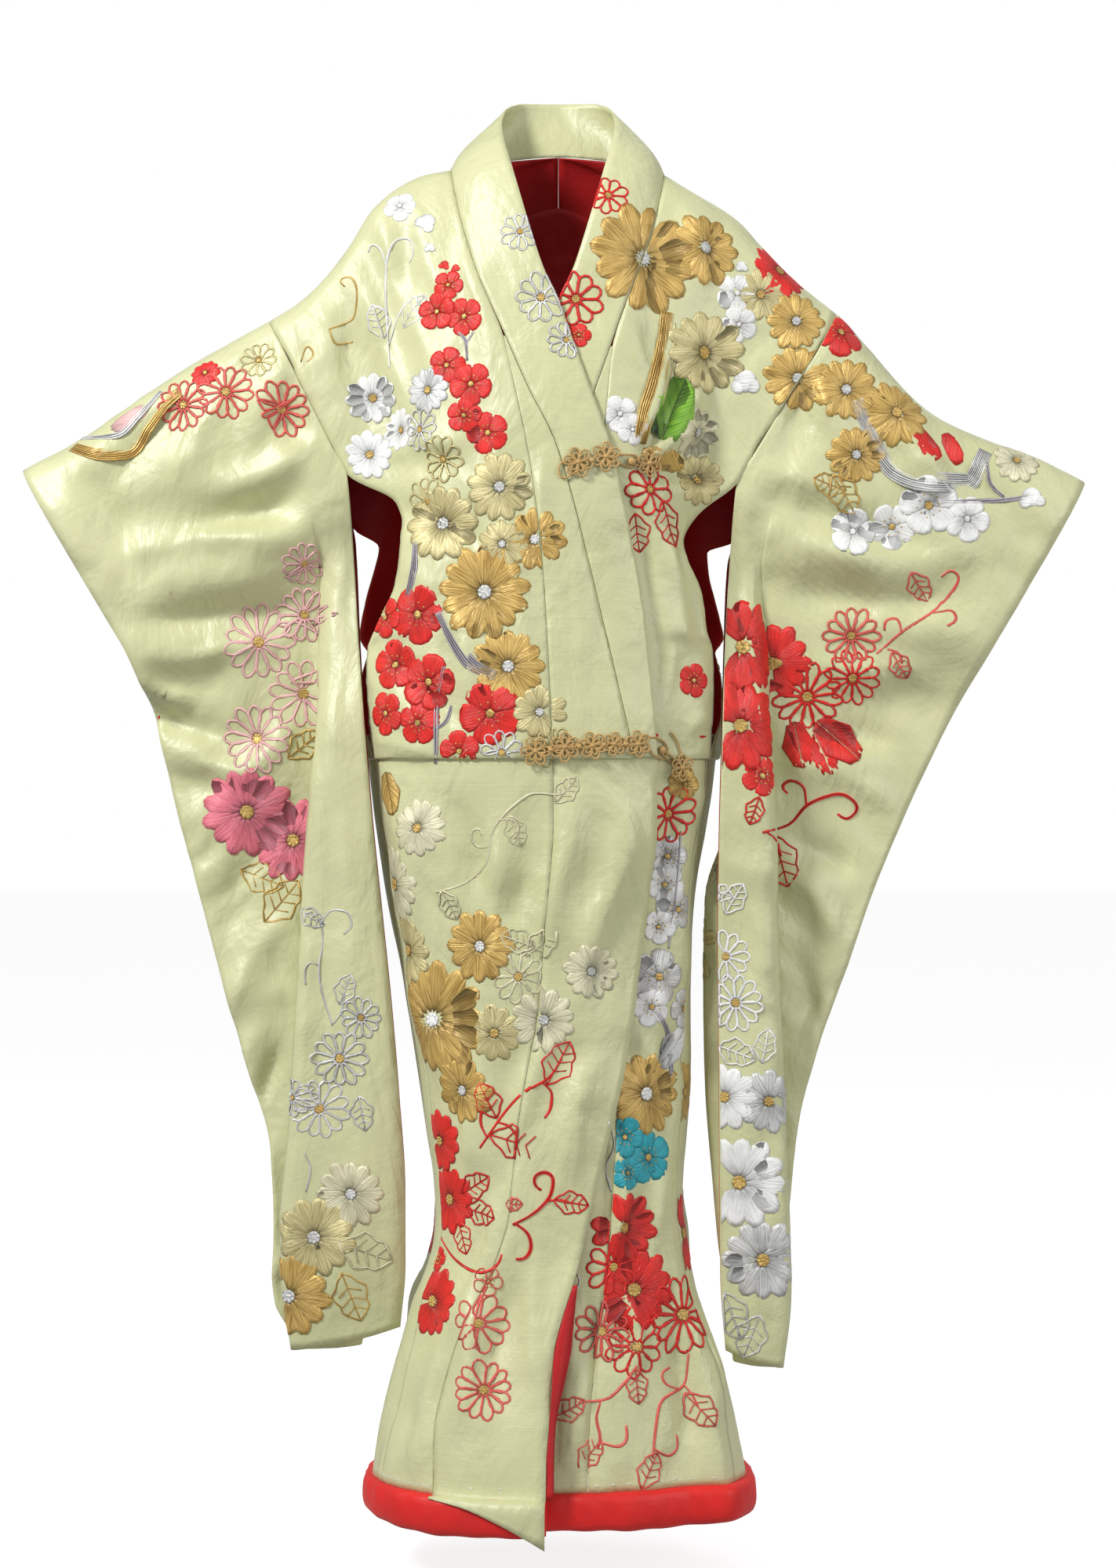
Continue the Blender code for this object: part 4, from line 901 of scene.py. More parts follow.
class Shade:
    """A material under construction: its nodes and the few connections that they all need."""

    def __init__(self, name, **values):
        self.material = bpy.data.materials.new(name)
        self.material.use_nodes = True
        self.nodes = self.material.node_tree.nodes
        self.links = self.material.node_tree.links
        self.shader = self.nodes["Principled BSDF"]
        for key, value in values.items():
            self.shader.inputs[key.replace("_", " ")].default_value = value
        self.material.diffuse_color = self.shader.inputs["Base Color"].default_value
        self.bumps = None

    def add(self, kind, inputs=(), **settings):
        node = self.nodes.new(kind)
        for key, value in settings.items():
            setattr(node, key, value)
        for key, value in dict(inputs).items():
            if isinstance(value, bpy.types.NodeSocket):
                self.links.new(value, node.inputs[key])
            else:
                node.inputs[key].default_value = value
        return node

    def place(self, source, scale, turn=0.0):
        """Object or UV places in metres, multiplied by a scale of three numbers."""
        if source == "Object":
            start = self.add("ShaderNodeTexCoord").outputs["Object"]
        else:
            start = self.add("ShaderNodeUVMap", uv_map="cloth").outputs["UV"]
        node = self.add("ShaderNodeMapping", {"Vector": start, "Scale": scale, "Rotation": (0, 0, turn)})
        return node.outputs["Vector"]

    def noise(self, vector, scale=1.0, detail=2.0, roughness=0.5, distortion=0.0):
        values = {"Vector": vector, "Scale": scale, "Detail": detail, "Roughness": roughness}
        values["Distortion"] = distortion
        return self.add("ShaderNodeTexNoise", values).outputs["Fac"]

    def wave(self, vector, scale=1.0, distortion=0.0, direction="X", detail=1.0):
        values = {"Vector": vector, "Scale": scale, "Distortion": distortion, "Detail": detail}
        return self.add("ShaderNodeTexWave", values, bands_direction=direction).outputs["Fac"]

    def ramp(self, factor, low, high, colours):
        """Colours, or single numbers, spread evenly over a factor between low and high."""
        node = self.add("ShaderNodeValToRGB", {"Fac": factor})
        while len(node.color_ramp.elements) < len(colours):
            node.color_ramp.elements.new(0.5)
        for i, colour in enumerate(colours):
            element = node.color_ramp.elements[i]
            element.position = low + (high - low) * i / (len(colours) - 1)
            element.color = (*colour, 1) if isinstance(colour, tuple) else (colour, colour, colour, 1)
        return node.outputs["Color"]

    def mix(self, factor, first, second, blend="MIX"):
        node = self.add("ShaderNodeMix", data_type="RGBA", blend_type=blend)
        for socket, value in ((node.inputs[0], factor), (node.inputs[6], first), (node.inputs[7], second)):
            if isinstance(value, bpy.types.NodeSocket):
                self.links.new(value, socket)
            elif isinstance(value, tuple):
                socket.default_value = (*value, 1)
            else:
                socket.default_value = value
        return node.outputs[2]

    def colour(self, socket):
        self.links.new(socket, self.shader.inputs["Base Color"])

    def roughness(self, factor, low, high):
        values = {"Value": factor, "To Min": low, "To Max": high}
        node = self.add("ShaderNodeMapRange", values)
        self.links.new(node.outputs["Result"], self.shader.inputs["Roughness"])

    def bump(self, height, distance, strength=1.0):
        values = {"Height": height, "Distance": distance, "Strength": strength}
        if self.bumps is not None:
            values["Normal"] = self.bumps
        self.bumps = self.add("ShaderNodeBump", values).outputs["Normal"]
        self.links.new(self.bumps, self.shader.inputs["Normal"])


# Small old stains in the silk: x, z and radius, in metres.
STAINS = [(-0.419, -0.469, 0.0035), (-0.294, -0.676, 0.0045), (0.32, -0.55, 0.003)]


def make_silk():
    """Pale green satin: a close weave with slubs, a soft sheen, small crumples and a little yellowing."""
    shade = Shade(
        "silk_celadon", Base_Color=(0.68, 0.68, 0.395, 1), Roughness=0.37, Specular_IOR_Level=0.65,
        Sheen_Weight=0.22, Sheen_Roughness=0.35, Sheen_Tint=(0.93, 1.0, 0.78, 1),
    )
    broad = shade.noise(shade.place("Object", (1, 1, 1)), 3.2, 4.0, 0.6)
    tone = shade.ramp(broad, 0.3, 0.72, [(0.6, 0.61, 0.33), (0.675, 0.68, 0.385), (0.72, 0.72, 0.42)])
    slubs = shade.noise(shade.place("UV", (14, 420, 1)), 1.0, 3.0, 0.6)
    tone = shade.mix(0.5, tone, shade.ramp(slubs, 0.3, 0.7, [0.93, 1.0, 1.06]), "MULTIPLY")
    patches = shade.noise(shade.place("Object", (1, 1, 1)), 9.0, 5.0, 0.7, 0.4)
    age = shade.ramp(patches, 0.62, 0.82, [0.0, 0.28])
    tone = shade.mix(age, tone, (0.62, 0.55, 0.27))
    for x, z, size in STAINS:
        values = {0: shade.place("Object", (1, 0, 1)), 1: (x, 0, z)}
        away = shade.add("ShaderNodeVectorMath", values, operation="DISTANCE").outputs["Value"]
        values = {"Value": away, "From Max": size, "To Min": 0.6, "To Max": 0.0}
        stain = shade.add("ShaderNodeMapRange", values)
        tone = shade.mix(stain.outputs["Result"], tone, (0.4, 0.28, 0.09))
    shade.colour(tone)
    shade.roughness(slubs, 0.33, 0.45)
    crumple = shade.noise(shade.place("Object", (1, 1, 0.7)), 26.0, 5.0, 0.55, 0.6)
    shade.bump(crumple, 0.005, 0.6)
    pressed = shade.noise(shade.place("Object", (1, 1, 0.5), 0.6), 11.0, 4.0, 0.5, 1.6)
    shade.bump(pressed, 0.011, 0.55)
    shade.bump(slubs, 0.0003, 0.3)
    weave = shade.wave(shade.place("UV", (1, 1, 1)), 230.0, 0.4, "Y")
    shade.bump(weave, 0.00012, 0.5)
    return shade.material


def make_lining(name, strength):
    """Plain red silk, duller than the face, with a fine weave. strength is how bright its dye is."""
    shade = Shade(
        name, Base_Color=(0.52 * strength, 0.008, 0.014, 1), Roughness=0.5, Specular_IOR_Level=0.45,
        Sheen_Weight=0.2, Sheen_Tint=(1.0, 0.35, 0.3, 1),
    )
    broad = shade.noise(shade.place("Object", (1, 1, 1)), 7.0, 3.0)
    reds = [(red * strength, 0.01 * strength, 0.012) for red in (0.42, 0.56, 0.6)]
    shade.colour(shade.ramp(broad, 0.3, 0.7, reds))
    fine = shade.noise(shade.place("UV", (60, 500, 1)), 1.0, 2.0)
    shade.roughness(fine, 0.42, 0.58)
    shade.bump(shade.noise(shade.place("Object", (1, 1, 1)), 38.0, 4.0, 0.55), 0.003, 0.4)
    shade.bump(fine, 0.0003, 0.35)
    return shade.material


def make_thread(name, low, high, metallic, roughness, sheen):
    """Floss or wrapped metal thread, laid side by side along its own u direction."""
    shade = Shade(
        name, Base_Color=(*high, 1), Roughness=roughness, Metallic=metallic, Specular_IOR_Level=0.6,
        Sheen_Weight=sheen,
    )
    strands = shade.noise(shade.place("UV", (26, 520, 1)), 1.0, 3.0, 0.55)
    broad = shade.noise(shade.place("Object", (1, 1, 1)), 45.0, 3.0, 0.6)
    tone = shade.ramp(strands, 0.32, 0.62, [low, high])
    tone = shade.mix(0.6, tone, shade.ramp(broad, 0.3, 0.7, [0.74, 1.0, 1.12]), "MULTIPLY")
    # Painted shade: every raised piece of thread is painted darker towards its rim and lighter on its crown;
    # it is also darker towards its foot.
    painted = shade.add("ShaderNodeAttribute", attribute_name="dye").outputs["Color"]
    dye = shade.add("ShaderNodeSeparateColor", {"Color": painted})
    for channel, tones in (("Red", [0.6, 1.0, 1.06]), ("Green", [0.6, 0.95, 1.1, 1.12])):
        tone = shade.mix(1.0, tone, shade.ramp(dye.outputs[channel], 0.0, 1.0, tones), "MULTIPLY")
    shade.colour(tone)
    shade.roughness(strands, roughness - 0.08, roughness + 0.1)
    shade.bump(strands, 0.0014, 0.9)
    ridges = shade.wave(shade.place("UV", (1, 1, 1)), 270.0, 0.6, "Y")
    shade.bump(ridges, 0.0003, 0.5)
    return shade.material


def make_cord():
    """Golden rayon cord, twisted of two strands."""
    shade = Shade(
        "cord_gold", Base_Color=(0.6, 0.38, 0.13, 1), Roughness=0.42, Specular_IOR_Level=0.6,
        Sheen_Weight=0.15,
    )
    strands = shade.noise(shade.place("UV", (500, 2200, 1), 0.5), 1.0, 2.0)
    broad = shade.noise(shade.place("Object", (1, 1, 1)), 60.0, 2.0)
    tone = shade.ramp(strands, 0.3, 0.7, [(0.4, 0.23, 0.06), (0.7, 0.46, 0.17)])
    shade.colour(shade.mix(0.5, tone, shade.ramp(broad, 0.3, 0.7, [0.8, 1.0, 1.08]), "MULTIPLY"))
    shade.roughness(strands, 0.34, 0.52)
    shade.bump(strands, 0.0006, 0.6)
    return shade.material


# Threads: darkest and lightest colour, metallic, roughness and sheen.
THREADS = {
    "gold": ((0.36, 0.2, 0.04), (0.78, 0.54, 0.17), 0.3, 0.4, 0.0),
    "light_gold": ((0.4, 0.33, 0.14), (0.74, 0.66, 0.34), 0.25, 0.42, 0.0),
    "champagne": ((0.5, 0.46, 0.28), (0.8, 0.77, 0.54), 0.15, 0.42, 0.1),
    "silver": ((0.42, 0.42, 0.41), (0.78, 0.78, 0.76), 0.25, 0.4, 0.0),
    "white": ((0.74, 0.74, 0.72), (0.9, 0.9, 0.88), 0.0, 0.48, 0.25),
    "red": ((0.5, 0.008, 0.005), (0.82, 0.018, 0.01), 0.0, 0.46, 0.05),
    "coral": ((0.56, 0.06, 0.05), (0.85, 0.15, 0.11), 0.0, 0.46, 0.1),
    "pink": ((0.55, 0.1, 0.14), (0.87, 0.22, 0.29), 0.0, 0.46, 0.15),
    "rose": ((0.66, 0.34, 0.34), (0.88, 0.54, 0.52), 0.0, 0.46, 0.15),
    "turquoise": ((0.01, 0.22, 0.27), (0.02, 0.42, 0.5), 0.0, 0.44, 0.1),
    "green": ((0.1, 0.32, 0.01), (0.3, 0.62, 0.05), 0.0, 0.4, 0.1),
    "branch": ((0.28, 0.26, 0.29), (0.5, 0.47, 0.5), 0.1, 0.48, 0.1),
}

materials = {}


def make_materials():
    materials["silk"] = make_silk()
    materials["lining"] = make_lining("silk_red", 1.0)
    materials["roll"] = make_lining("silk_scarlet", 1.45)
    materials["cord"] = make_cord()
    for name, values in THREADS.items():
        materials[name] = make_thread(f"thread_{name}", *values)


class Sheet:
    """The fine surface of one piece of cloth, with places on it in millimetres down and across."""

    def __init__(self, name):
        self.name = name
        self.grid, self.facing, self.down, self.across, self.half = surfaces[name]

    def cell(self, u, v):
        i = np.clip(np.searchsorted(self.down, u) - 1, 0, len(self.down) - 2)
        j = np.clip(np.searchsorted(self.across, v) - 1, 0, len(self.across) - 2)
        a = (u - self.down[i]) / (self.down[i + 1] - self.down[i])
        b = (v - self.across[j]) / (self.across[j + 1] - self.across[j])
        return i, j, a[..., None], b[..., None]

    def at(self, u, v):
        """Points and outward normals at places on the sheet."""
        i, j, a, b = self.cell(np.asarray(u, float), np.asarray(v, float))
        found = []
        for values in (self.grid, self.facing):
            near = lerp(values[i, j], values[i, j + 1], b)
            far = lerp(values[i + 1, j], values[i + 1, j + 1], b)
            found.append(lerp(near, far, a))
        normals = unit(found[1])
        return found[0] + normals * self.half, normals

    def frame(self, u, v):
        """Point, normal and the two edge directions of the sheet at a place."""
        point, normal = self.at(u, v)
        step = 3.0
        du = (self.at(u + step, v)[0] - self.at(u - step, v)[0]) / (2 * step)
        dv = (self.at(u, v + step)[0] - self.at(u, v - step)[0]) / (2 * step)
        return point, normal, du, dv


class Sewing:
    """Finds cloth behind places of the picture, for the threads that are sewn on it."""

    def __init__(self, names):
        self.sheets = [Sheet(name) for name in names]
        points, faces, self.cells = [], [], []
        for number, sheet in enumerate(self.sheets):
            rows, columns = sheet.grid.shape[:2]
            index = np.arange(rows * columns).reshape(rows, columns) + len(points)
            quads = np.stack([index[:-1, :-1], index[1:, :-1], index[1:, 1:], index[:-1, 1:]], axis=2)
            faces += quads.reshape(-1, 4).tolist()
            points += sheet.grid.reshape(-1, 3).tolist()
            self.cells += [(number, i, j) for i in range(rows - 1) for j in range(columns - 1)]
        self.tree = BVHTree.FromPolygons(points, faces)

    def find(self, x, y, back=False):
        """The sheet and the place on it that shows at a pixel, or just beside it where a seam opens there."""
        for dx, dy in ((0, 0), (2, 0), (-2, 0), (0, 2)):
            found = self.cast(x + dx, y + dy, back)
            if found is not None:
                return found
        return None

    def cast(self, x, y, back):
        """The sheet and the place on it along the line of sight, or None. The back is seen from behind."""
        side = 1 if back else -1
        eye = Vector((CAMERA_X, side * CAMERA_DISTANCE, CAMERA_Z))
        right, down = (x - IMAGE_WIDTH / 2) * PIXEL, (y - IMAGE_HEIGHT / 2) * PIXEL
        target = Vector((CAMERA_X + right, 0.0, CAMERA_Z - down))
        ray = (target - eye).normalized()
        spot, _, face, _ = self.tree.ray_cast(eye, ray)
        if spot is None:
            return None
        number, i, j = self.cells[face]
        sheet = self.sheets[number]
        if np.dot(sheet.facing[i, j], ray) > -0.12:
            return None
        corner = sheet.grid[i, j]
        sides = np.stack([sheet.grid[i + 1, j] - corner, sheet.grid[i, j + 1] - corner], axis=1)
        a, b = np.linalg.lstsq(sides, np.array(spot) - corner, rcond=None)[0]
        u = lerp(sheet.down[i], sheet.down[i + 1], np.clip(a, 0, 1))
        v = lerp(sheet.across[j], sheet.across[j + 1], np.clip(b, 0, 1))
        return sheet, float(u), float(v)


class Spot:
    """A flat frame on the cloth at a pixel: local places go right and down as in the picture, then turned."""

    def __init__(self, sewing, x, y, turn=0.0, back=False):
        self.sewing, self.back, self.turn = sewing, back, turn
        found = sewing.find(x, y, back)
        self.good = found is not None
        if not self.good:
            return
        self.sheet, self.u, self.v = found
        self.point, self.normal, _, _ = self.sheet.frame(self.u, self.v)
        normal = self.normal
        mirror = -1 if back else 1
        way = np.array([math.cos(turn) * mirror, 0, -math.sin(turn)])
        self.first = unit(way - normal * np.dot(way, normal))
        side = np.cross(normal, self.first) * -1
        self.second = side * mirror if back else side

    def places(self, x, y):
        """Where local places in millimetres lie on the sheet, and how far each one found is from its goal."""
        goal = np.stack([np.asarray(x, float), np.asarray(y, float)], axis=-1)
        axes = np.stack([self.first, self.second], axis=1)
        u, v = np.full(goal.shape[:-1], self.u), np.full(goal.shape[:-1], self.v)
        best = (u, v, np.full(goal.shape[:-1], 1e9))
        for _ in range(7):
            point, _, du, dv = self.sheet.frame(u, v)
            left = goal - (point - self.point) @ axes
            error = np.linalg.norm(left, axis=-1)
            better = error < best[2]
            best = tuple(np.where(better, new, old) for new, old in zip((u, v, error), best))
            a, b = du @ axes, dv @ axes
            size = a[..., 0] * b[..., 1] - a[..., 1] * b[..., 0]
            size = np.where(np.abs(size) < 0.05, np.where(size < 0, -0.05, 0.05), size)
            step_u = (left[..., 0] * b[..., 1] - left[..., 1] * b[..., 0]) / size
            step_v = (a[..., 0] * left[..., 1] - a[..., 1] * left[..., 0]) / size
            shrink = np.minimum(1.0, 14.0 / np.maximum(np.hypot(step_u, step_v), 1e-9))
            u = np.clip(u + step_u * shrink, 0.8, self.sheet.down[-1] - 0.8)
            v = np.clip(v + step_v * shrink, 0.8, self.sheet.across[-1] - 0.8)
        return best

    def spot_for(self, x, y):
        """The frame for a piece centred at a local place: this one, or one on the next sheet across a seam.
        There is none where the cloth folds away, so a fold cuts a flower off."""
        if self.places(x, y)[2] < 3.0:
            return self, x, y
        point = self.point + x * self.first + y * self.second
        px, py = picture_place(point)
        other = Spot(self.sewing, float(px), float(py), self.turn, self.back)
        if not other.good or other.sheet is self.sheet or np.linalg.norm(other.point - point) > 45:
            return None, 0, 0
        return other, 0, 0

    def lay(self, x, y, across, along, height=0.0):
        """Points of the robe and their normals for a piece round (x, y), a height above the cloth. Where the
        cloth folds away, the piece follows it round the fold."""
        u, v, error = self.places(x + across, y + along)
        if np.max(error) > 1.5:
            u, v, _ = self.places(x, y)
            _, normal, du, dv = self.sheet.frame(u, v)
            first = unit(self.first - normal * np.dot(self.first, normal))
            second = np.cross(normal, first) * np.sign(np.dot(np.cross(normal, first), self.second))
            a = np.array([np.dot(du, first), np.dot(du, second)])
            b = np.array([np.dot(dv, first), np.dot(dv, second)])
            size = a[0] * b[1] - a[1] * b[0]
            size = math.copysign(max(abs(size), 0.3), size)
            u = np.clip(u + (across * b[1] - along * b[0]) / size, 0.8, self.sheet.down[-1] - 0.8)
            v = np.clip(v + (a[0] * along - a[1] * across) / size, 0.8, self.sheet.across[-1] - 0.8)
        points, normals = self.sheet.at(u, v)
        return points + normals * np.asarray(height)[..., None], normals


# Shapes that repeat, modelled once in millimetres of a unit size: name to points and faces.
templates = {}


def model_bead(name, count, rings):
    """Models a low closed dome: rings lists the distance in from the rim and the rise of every step."""
    bpy.ops.object.select_all(action="DESELECT")
    bpy.ops.mesh.primitive_circle_add(vertices=count, radius=1.0, fill_type="NGON")
    bead = bpy.context.object
    bpy.ops.object.mode_set(mode="EDIT")
    bpy.ops.mesh.select_all(action="SELECT")
    bpy.ops.mesh.extrude_region_move(TRANSFORM_OT_translate={"value": (0, 0, 0.35)})
    for inset, rise in rings:
        bpy.ops.mesh.inset(thickness=inset, depth=0.0)
        bpy.ops.transform.translate(value=(0, 0, rise))
    bpy.ops.mesh.select_all(action="SELECT")
    bpy.ops.mesh.normals_make_consistent(inside=False)
    bpy.ops.object.mode_set(mode="OBJECT")
    mesh = bead.data
    points = np.array([list(vertex.co) for vertex in mesh.vertices])
    faces = [tuple(face.vertices) for face in mesh.polygons]
    templates[name] = (points, faces)
    bpy.data.objects.remove(bead)
    bpy.data.meshes.remove(mesh)


class Threads:
    """The embroidery of one area: raised pieces of thread, each closed, gathered into one object."""

    def __init__(self, name):
        self.name = name
        self.points, self.faces, self.slots, self.places, self.colours, self.rim_shade_and_foot_tones = [], [], [], [], [], []
        self.count = 0
        self.chance = np.random.default_rng(len(name) * 7 + ord(name[-1]))

    def slot(self, colour):
        if colour not in self.colours:
            self.colours.append(colour)
        return self.colours.index(colour)

    def add(self, points, faces, colour, places, dye=(0.5, 0.6)):
        """The last argument holds how far in from its rim each point is and how far out along its petal: the
        thread is painted darker towards the rim, a painted shade, and darker towards its foot.
        """
        start = self.count
        self.points.append(points)
        tint = np.zeros((len(points), 4))
        tint[:, 0], tint[:, 1], tint[:, 2] = dye[0], dye[1], self.chance.uniform()
        self.rim_shade_and_foot_tones.append(tint)
        self.places.append(places + self.chance.uniform(0, 1, 2) * 0.05)
        self.faces += [tuple(start + i for i in face) for face in faces]
        self.slots += [self.slot(colour)] * len(faces)
        self.count += len(points)

    def piece(self, spot, shape, x, y, colour, height, base, flow=0.0):
        """Lays a dome. shape turns its unit disc into local places. flow is the way of its threads."""
        spot, x, y = spot.spot_for(x, y)
        if spot is None:
            return
        points, faces = templates["bead"]
        across, along = shape(points[:, 0], points[:, 1])
        rise = base + points[:, 2] * height - 0.25
        laid, _ = spot.lay(x, y, across, along, rise)
        c, s = math.cos(flow), math.sin(flow)
        places = np.stack([across * c + along * s, along * c - across * s], axis=1) * MM
        # The height in the dome paints a shade on the piece's rim, and its place along the piece darkens its
        # foot.
        self.add(laid, faces, colour, places, (points[:, 2], 0.5 + points[:, 0] / 2))

    def ribbon(self, points, normals, width, height, base, colour, closed=False):
        """Lays a cord of couched thread along points on the cloth."""
        points = np.asarray(points)
        if len(points) < 2:
            return
        way = np.roll(points, -1, axis=0) - np.roll(points, 1, axis=0)
        if not closed:
            way[0], way[-1] = points[1] - points[0], points[-1] - points[-2]
        side = unit(np.cross(normals, unit(way)))
        widths = np.broadcast_to(np.asarray(width, float), len(points))[:, None]
        left = points + side * widths / 2 + normals * (base - 0.2)
        right = points - side * widths / 2 + normals * (base - 0.2)
        crest = points + normals * (base + height)
        verts = np.stack([left, crest, right], axis=1).reshape(-1, 3)
        count = len(points)
        faces = []
        for i in range(count if closed else count - 1):
            a, b = 3 * i, 3 * ((i + 1) % count)
            faces += [(a, a + 1, b + 1, b), (a + 1, a + 2, b + 2, b + 1), (a + 2, a, b, b + 2)]
        if not closed:
            faces += [(2, 1, 0), (3 * count - 3, 3 * count - 2, 3 * count - 1)]
        length = np.concatenate([[0], np.cumsum(np.linalg.norm(np.diff(points, axis=0), axis=1))])
        places = np.stack([np.repeat(length, 3), np.tile([0.0, 1.0, 2.0], count)], axis=1) * MM
        if np.dot(np.cross(verts[1] - verts[0], verts[4] - verts[0]), normals[0]) < 0:
            faces = [face[::-1] for face in faces]
        self.add(verts, faces, colour, places)

    def line(self, spot, x, y, width, height, base, colour, closed=True):
        """Lays a cord along local places of a spot."""
        middle = float(np.mean(x)), float(np.mean(y))
        other, mx, my = spot.spot_for(*middle)
        if other is not None:
            points, normals = other.lay(mx, my, x - middle[0], y - middle[1])
            self.ribbon(points, normals, width, height, base, colour, closed)

    def stem(self, sewing, trail, width, colour, base=0.15, height=0.8, back=False):
        """Lays a couched stem along pixels of the picture, broken where the cloth folds away."""
        line = soften(picture_line(trail, 3.5))
        run, last = [], None
        count = len(line)
        for k, (x, y) in enumerate(line):
            found = sewing.find(x, y, back)
            if found is not None:
                sheet, u, v = found
                point, normal = sheet.at(u, v)
                share = min(0.12 + 0.88 * (1 - k / count), 0.85)
                taper = 1.25 * width * (0.45 + 0.55 * math.sin(math.pi * share))
            joined = found is not None and last is not None and np.linalg.norm(point - last) < 9
            if not joined:
                self.finish_run(run, height, base, colour)
                run = []
            if found is not None:
                run.append((point, normal, taper))
            last = point if found is not None else None
        self.finish_run(run, height, base, colour)

    def finish_run(self, run, height, base, colour):
        """Lays one cord, or several side by side where the stem is broad."""
        if len(run) < 3:
            return
        points, normals, widths = (np.array(column) for column in zip(*run))
        cords = max(1, round(widths.max() / 2.6))
        way = np.gradient(points, axis=0)
        side = unit(np.cross(normals, unit(way)))
        for k in range(cords):
            shift = (k + 0.5) / cords - 0.5
            heights = height * (1 if cords == 1 else 1.2 + 0.5 * math.cos(2.2 * shift))
            beside = points + side * (shift * widths)[:, None]
            self.ribbon(beside, normals, widths * 1.1 / cords, heights, base, colour)

    def finish(self):
        """Gathers the threads into one object."""
        points = np.concatenate(self.points)
        places = np.concatenate(self.places)
        threads = [materials[colour] for colour in self.colours]
        piece = add_mesh(self.name, points, self.faces, threads, self.slots, places)
        # The painted rim shade and the darker feet, read by the thread material.
        rim_shade_and_foot_tones = piece.data.color_attributes.new("dye", "FLOAT_COLOR", "POINT")
        rim_shade_and_foot_tones.data.foreach_set("color", np.concatenate(self.rim_shade_and_foot_tones).ravel())
        return piece


def petal_shape(inner, outer, width, turn, point=0.0):
    """A petal from an inner to an outer distance, narrow at the foot. point is how sharp its tip is."""
    middle, half = (inner + outer) / 2, (outer - inner) / 2
    c, s = math.cos(turn), math.sin(turn)

    def shape(a, b):
        along = a * half
        widths = [0.36, 0.62, 1.0, 1.0 - 0.3 * point, 1.0 - 0.5 * point]
        fill = np.interp(a, [-1, -0.4, 0.35, 0.75, 1], widths)
        side = b * width / 2 * fill
        return c * along - s * side, s * along + c * side

    return shape, c * middle, s * middle


def petal_outline(inner, outer, width, turn, point=0.0, steps=12):
    angles = np.linspace(0, 2 * math.pi, steps, endpoint=False)
    shape, x, y = petal_shape(inner, outer, width, turn, point)
    across, along = shape(np.cos(angles), np.sin(angles))
    return x + across, y + along


def relief():
    return bpy.context.scene.kimono.relief / MM


def dot(radius, share=1.0):
    """A round shape."""
    return lambda a, b: (a * radius * share, b * radius * share)


def lay_mum(threads, spot, uneven, radius, petals, colour, heart, line, base):
    """A chrysanthemum of narrow petals round a knotted heart, filled with satin stitch or only outlined."""
    wide = 2 * math.pi * radius / petals
    for i in range(petals):
        angle = 2 * math.pi * i / petals
        outer = radius * (1 - 0.05 * (i % 2) - 0.04 * math.sin(5.1 * i + uneven))
        inner = radius * 0.12
        if line:
            ox, oy = petal_outline(inner + 1.5, outer, wide * 0.8, angle)
            threads.line(spot, ox, oy, 2.0 + 0.03 * radius, 0.8, base + 0.1, colour)
        else:
            shape, cx, cy = petal_shape(inner, outer, wide * 0.93, angle)
            threads.piece(spot, shape, cx, cy, colour, relief(), base + 0.09 * (i % 2), angle)
    size = min(radius * 0.15, 7.5)
    threads.piece(spot, dot(size), 0.0, 0.0, heart, 1.1, base + 0.25)
    knots = 7
    for i in range(knots):
        angle = 2 * math.pi * i / knots + 0.4
        x, y = size * 0.72 * math.cos(angle), size * 0.72 * math.sin(angle)
        threads.piece(spot, dot(size, 0.3), x, y, heart, 0.7, base + 0.9)


def lay_plum(threads, spot, uneven, radius, petals, colour, heart, line, base):
    """A plum blossom of five round petals, with a ring of stamens."""
    for i in range(5):
        angle = 2 * math.pi * i / 5
        if line:
            ox, oy = petal_outline(radius * 0.12, radius, radius * 0.95, angle, -0.25)
            threads.line(spot, ox, oy, 1.5, 0.7, base + 0.1, colour)
            continue
        shape, cx, cy = petal_shape(radius * 0.08, radius, radius * 1.02, angle, -0.2)
        threads.piece(spot, shape, cx, cy, colour, relief(), base + 0.06 * (i % 3), angle)
    threads.piece(spot, dot(radius * 0.13), 0.0, 0.0, heart, 0.8, base + 0.75)
    stamens = 10
    for i in range(stamens):
        angle = 2 * math.pi * (i + 0.5) / stamens
        reach = radius * (0.34 + 0.05 * (i % 2))
        x, y = reach * math.cos(angle), reach * math.sin(angle)
        threads.piece(spot, dot(0.9), x, y, heart, 0.6, base + 0.7)


def lay_bud(threads, spot, uneven, radius, petals, colour, heart, line, base):
    """A bud of three balls."""
    for x, y, size in ((0, 0, 0.8), (0.55, 0.35, 0.5), (-0.5, 0.4, 0.5)):
        threads.piece(spot, dot(radius, size), x * radius, y * radius, colour, 1.0, base)


